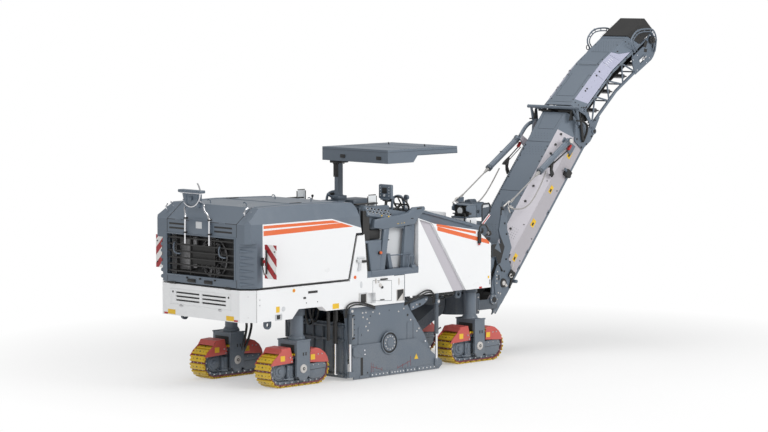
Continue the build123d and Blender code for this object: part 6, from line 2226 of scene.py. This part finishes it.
@dataclass(frozen=True)
class UpperConveyor:
    """Hatches, bolts, perforation, corner plates, rollers, guards and head fittings of the upper conveyor."""

    housing: Housing = Housing(0.515, 0.475, 0.3, 0.623)
    lean: float = 0.42
    base: float = 0.048
    kink_u: float = 1.008
    stretch: float = 1.0556
    body: str = "upper_conveyor"
    seams: tuple[tuple[float, float, float, float], ...] = (
        (0.03, -0.2, 0.03, 0.24), (0.03, 0.24, 0.46, 0.24), (0.46, 0.24, 0.46, -0.2),
        (-0.96, -0.22, -0.96, 0.22),
        (-0.96, 0.22, -0.35, 0.22), (-0.96, -0.22, -0.35, -0.22), (-1.12, -0.29, -1.12, 0.29),
        (0.93, -0.29, 0.93, 0.29),
    )
    side_dots: tuple[tuple[float, float], ...] = (
        (-0.95, 0.3), (-0.9, 0.6), (-0.85, 0.2), (-0.78, 0.45), (-0.6, 0.25), (-0.6, 0.5), (-0.45, 0.3),
        (-0.45, 0.6),
        (-0.35, 0.2), (-0.15, 0.4),
    )
    guard: tuple[tuple[float, float], ...] = (
        (0.8, 0.40), (0.775, 0.54), (0.8, 0.63), (0.88, 0.69), (1.09, 0.715), (1.43, 0.52), (1.485, 0.42),
        (1.46, 0.24),
        (1.3, 0.09),
    )
    guard_side: float = 0.55
    openings: tuple[tuple[tuple[float, float], ...], ...] = (
        ((1.08, 0.33), (1.2, 0.4), (1.25, 0.34), (1.14, 0.27)),
        ((1.05, 0.24), (1.1, 0.28), (1.16, 0.22), (1.11, 0.18)),
        ((1.3, 0.2), (1.34, 0.22), (1.36, 0.12), (1.31, 0.08)),
    )
    head_bolts: tuple[tuple[float, float], ...] = (
        (0.7, 0.05), (0.7, 0.28), (0.85, 0.29), (1.0, 0.02), (1.12, 0.05), (1.38, 0.2), (1.36, 0.4),
    )

    def place(self, run: float, w: float, n: float) -> Vector:
        """A point of the housing: run is measured from the kink and is negative below it."""
        if run <= 0.0:
            return UPPER.point(self.kink_u + (w - self.base) * self.lean + run, w, n)
        return HEAD.point(run, (w - self.base) * self.stretch, n)

    def on_side(self, run: float, t: float, lift: float = 0.0) -> Vector:
        """A point on the right slanted side; t runs from its shoulder to the top."""
        return self.place(run, *self.housing.side(t)) + self.housing.out(UPPER if run <= 0.0 else HEAD) * lift

    def patch(self, form: Form, corners: Sequence[tuple[float, float]], lift: float = 0.006) -> None:
        """Thin plate on the right slanted side.

        Args:
            form: Where it is added.
            corners: Its corners as (run, t).
            lift: How thick it is.
        """
        low, high = ([form.mesh.verts.new(self.on_side(run, t, height)) for run, t in corners]
                     for height in (-0.004, lift))
        form.mesh.faces.new(low[::-1])
        form.mesh.faces.new(high)
        for index in range(len(corners)):
            after = (index + 1) % len(corners)
            form.mesh.faces.new((low[index], low[after], high[after], high[index]))

    def cover(self, finishes: Finishes) -> None:
        """Hatches, seams, bolts and dots; what is on both sides is drawn on the right."""
        seams, bolts, dots, pale = Form(), Form(), Form(), Form()
        top, out, out_head = self.housing.top, self.housing.out(UPPER), self.housing.out(HEAD)
        for run in (-1.05, -0.7, -0.4, -0.1, 0.2, 0.7):
            bolts.heads([self.place(run, top, 0.27)], 0.012, 0.006, UPPER.up if run < 0 else HEAD.up)
        bolts.heads([self.on_side(run, 0.7) for run in (-0.75, -0.69, -0.33, -0.22, 0.55)], 0.018, 0.01, out)
        for run in (-0.31, 0.0, 0.38):
            seams.rod(self.on_side(run, 0.04), self.on_side(run, 0.97), 0.003, sides=5)
        for row in range(5):
            for column in range(5):
                spot = self.on_side(0.12 + row * 0.05, 0.25 + column * 0.1 + (row % 2) * 0.05)
                pale.rod(spot, spot + out_head * 0.0015, 0.007, sides=8)
        for spot in (self.on_side(run, t) for run, t in self.side_dots):
            dots.rod(spot, spot + out * 0.0015, 0.006, sides=8)
        for form in (seams, bolts, dots, pale):
            form.mirrored()
        for r0, n0, r1, n1 in self.seams:
            seams.rod(self.place(r0, top, n0), self.place(r1, top, n1), 0.004, sides=5)
        for row in range(8):
            for column in range(7):
                spot = self.place(0.5 + row * 0.045, top, -0.18 + column * 0.062 + (row % 2) * 0.03)
                dots.rod(spot - HEAD.up * 0.002, spot + HEAD.up * 0.0015, 0.007, sides=8)
        seams.put("upper_cover_seams", finishes.deep_slate, self.body)
        bolts.put("upper_cover_bolts", finishes.black, self.body)
        dots.put("upper_cover_perforation", finishes.deep_slate, self.body)
        pale.put("upper_side_perforation", finishes.white, self.body)

    def corners(self, finishes: Finishes) -> None:
        """Slate plates at both ends of the light sides, skirts and rollers."""
        slate, dark, rollers = Form(), Form(), Form()
        start = -(self.kink_u + (self.housing.shoulder - self.base) * self.lean - 0.045)
        self.patch(slate, ((start - 0.02, 0.0), (start + 0.2, 0.0), (start + 0.1, 1.0), (start - 0.06, 1.0)))
        self.patch(slate, ((0.7, 0.0), (1.03, 0.0), (1.03, 1.0), (0.46, 1.0), (0.52, 0.5)))
        dark.heads([self.on_side(run, t, 0.006) for t in (0.2, 0.5, 0.8) for run in (0.86, start + 0.05)],
                   0.012, 0.006,
                   self.housing.out(HEAD))
        for first, last in ((-1.1, -0.02), (-0.02, 0.75)):
            slate.rod(self.place(first, 0.45, 0.53), self.place(last, 0.45, 0.53), 0.014, sides=12)
        for run in (-1.0, -0.75, -0.5, -0.25, 0.05, 0.3, 0.55):
            dark.grid = Grid(self.place(run, 0.42, 0.0), UPPER.along, UPPER.up)
            dark.block((-0.02, 0.0, 0.5), (0.02, 0.05, 0.54), 0.006)
        slate.mirrored()
        dark.mirrored()
        for run in (-0.62, -0.1, 0.42, 0.84):
            for half, radius, sides in ((0.4, 0.042, 20), (0.47, 0.014, 12)):
                rollers.rod(self.place(run, 0.13, -half), self.place(run, 0.13, half), radius, sides=sides)
        slate.put("upper_corner_plates", finishes.slate, self.body)
        dark.put("upper_clips", finishes.black, self.body)
        rollers.put("upper_return_rollers", finishes.worn, self.body)

    def guards(self, finishes: Finishes) -> None:
        """Double tubes with rungs round both sides of the head."""
        rungs, n, middle = Form(HEAD), self.guard_side, Vector((1.12, 0.36))
        outer = [Vector(spot) for spot in self.guard]
        inner = [spot + (middle - spot).normalized() * 0.062 for spot in outer]
        for side in SIDES:
            for name, radius, spots in (("head_guard", 0.015, outer), ("head_guard_inner", 0.011, inner)):
                route = led([(*spot, n) for spot in spots], side, HEAD)
                tube(f"{name}_{side_name(side)}", route, radius, finishes.slate, self.body, 5)
        for index in range(3, 8):
            for share in (0.0, 0.5):
                ends = (line[index].lerp(line[index + 1], share) for line in (outer, inner))
                rungs.rod(*((*end, n) for end in ends), 0.009, sides=8)
        for u, v in (self.guard[0], self.guard[-1]):
            rungs.boss(u, v, n, 0.5, 0.02, sides=14)
        rungs.mirrored()
        rungs.put("head_guard_rungs", finishes.slate, self.body)

    def head(self, finishes: Finishes) -> None:
        """Motor hub, tensioner, openings and bolts of the head's side plates; studs of the rubber hood."""
        dark, chrome, slate, studs, straps = Form(HEAD), Form(HEAD), Form(HEAD), Form(HEAD), Form(UPPER)
        near = self.housing.half
        dark.boss(1.34, 0.32, near, near + 0.06, 0.075, 0.07, 26, 0.006)
        dark.boss(1.34, 0.32, near + 0.06, near + 0.08, 0.04)
        for outline in self.openings:
            dark.prism(outline, near, near + 0.002)
        chrome.rod((0.92, 0.137, 0.53), (1.06, 0.137, 0.53), 0.011, sides=12)
        chrome.block((0.93, 0.115, near), (0.975, 0.16, 0.545), 0.006)
        chrome.block((1.02, 0.12, near), (1.035, 0.155, 0.545), 0.003)
        chrome.heads([(u, v, near) for u, v in self.head_bolts], 0.013, 0.009)
        slate.block((0.84, 0.085, near), (1.03, 0.1, 0.53), 0.004)
        slate.block((0.84, 0.175, near), (1.03, 0.19, 0.53), 0.004)
        studs.heads([(1.1 + row * 0.09, 0.53 + column * 0.035, 0.47 - column * 0.055) for row in range(4)
                     for column in range(3)],
                    0.008, 0.004, self.housing.out(HEAD))
        straps.heads([(u, v, near) for u, v in ((0.12, 0.5), (0.14, 0.38), (0.2, 0.1), (0.02, 0.2))], 0.016,
                     0.01)
        for form in (dark, chrome, slate, studs, straps):
            form.mirrored()
        dark.ring((0.76, 0.5, -0.56), 0.045, 0.009, 20, 8)
        dark.put("head_motor_hubs", finishes.black, self.body)
        chrome.put("head_tensioners", finishes.chrome, self.body)
        slate.put("head_rails", finishes.slate, self.body)
        studs.put("head_hood_studs", finishes.rubber, self.body)
        straps.put("upper_end_bolts", finishes.black, self.body)

    def build(self, finishes: Finishes) -> None:
        """Makes all of it.

        Args:
            finishes: The materials.
        """
        for step in (self.cover, self.corners, self.guards, self.head):
            step(finishes)


PARTS: tuple[Callable[["Finishes"], None], ...] = (
    Cowl().build, Bumper().build, Flanks().build,
    *(Track(end, side).build for end in End for side in SIDES),
    MillingBox().build, Stand().build, Canopy().build, Front().build, Bracket().build,
    LowerConveyor().build, *(Stay(side).build for side in SIDES), UpperConveyor().build,
)


def main() -> None:
    """Builds the looks in order."""
    logging.basicConfig(level=logging.INFO, format="%(message)s", stream=sys.stdout)
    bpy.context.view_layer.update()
    finishes = Finishes()
    Studio().set()
    dress_frame(finishes)
    for part in PARTS:
        part(finishes)


if __name__ == "__main__":
    main()
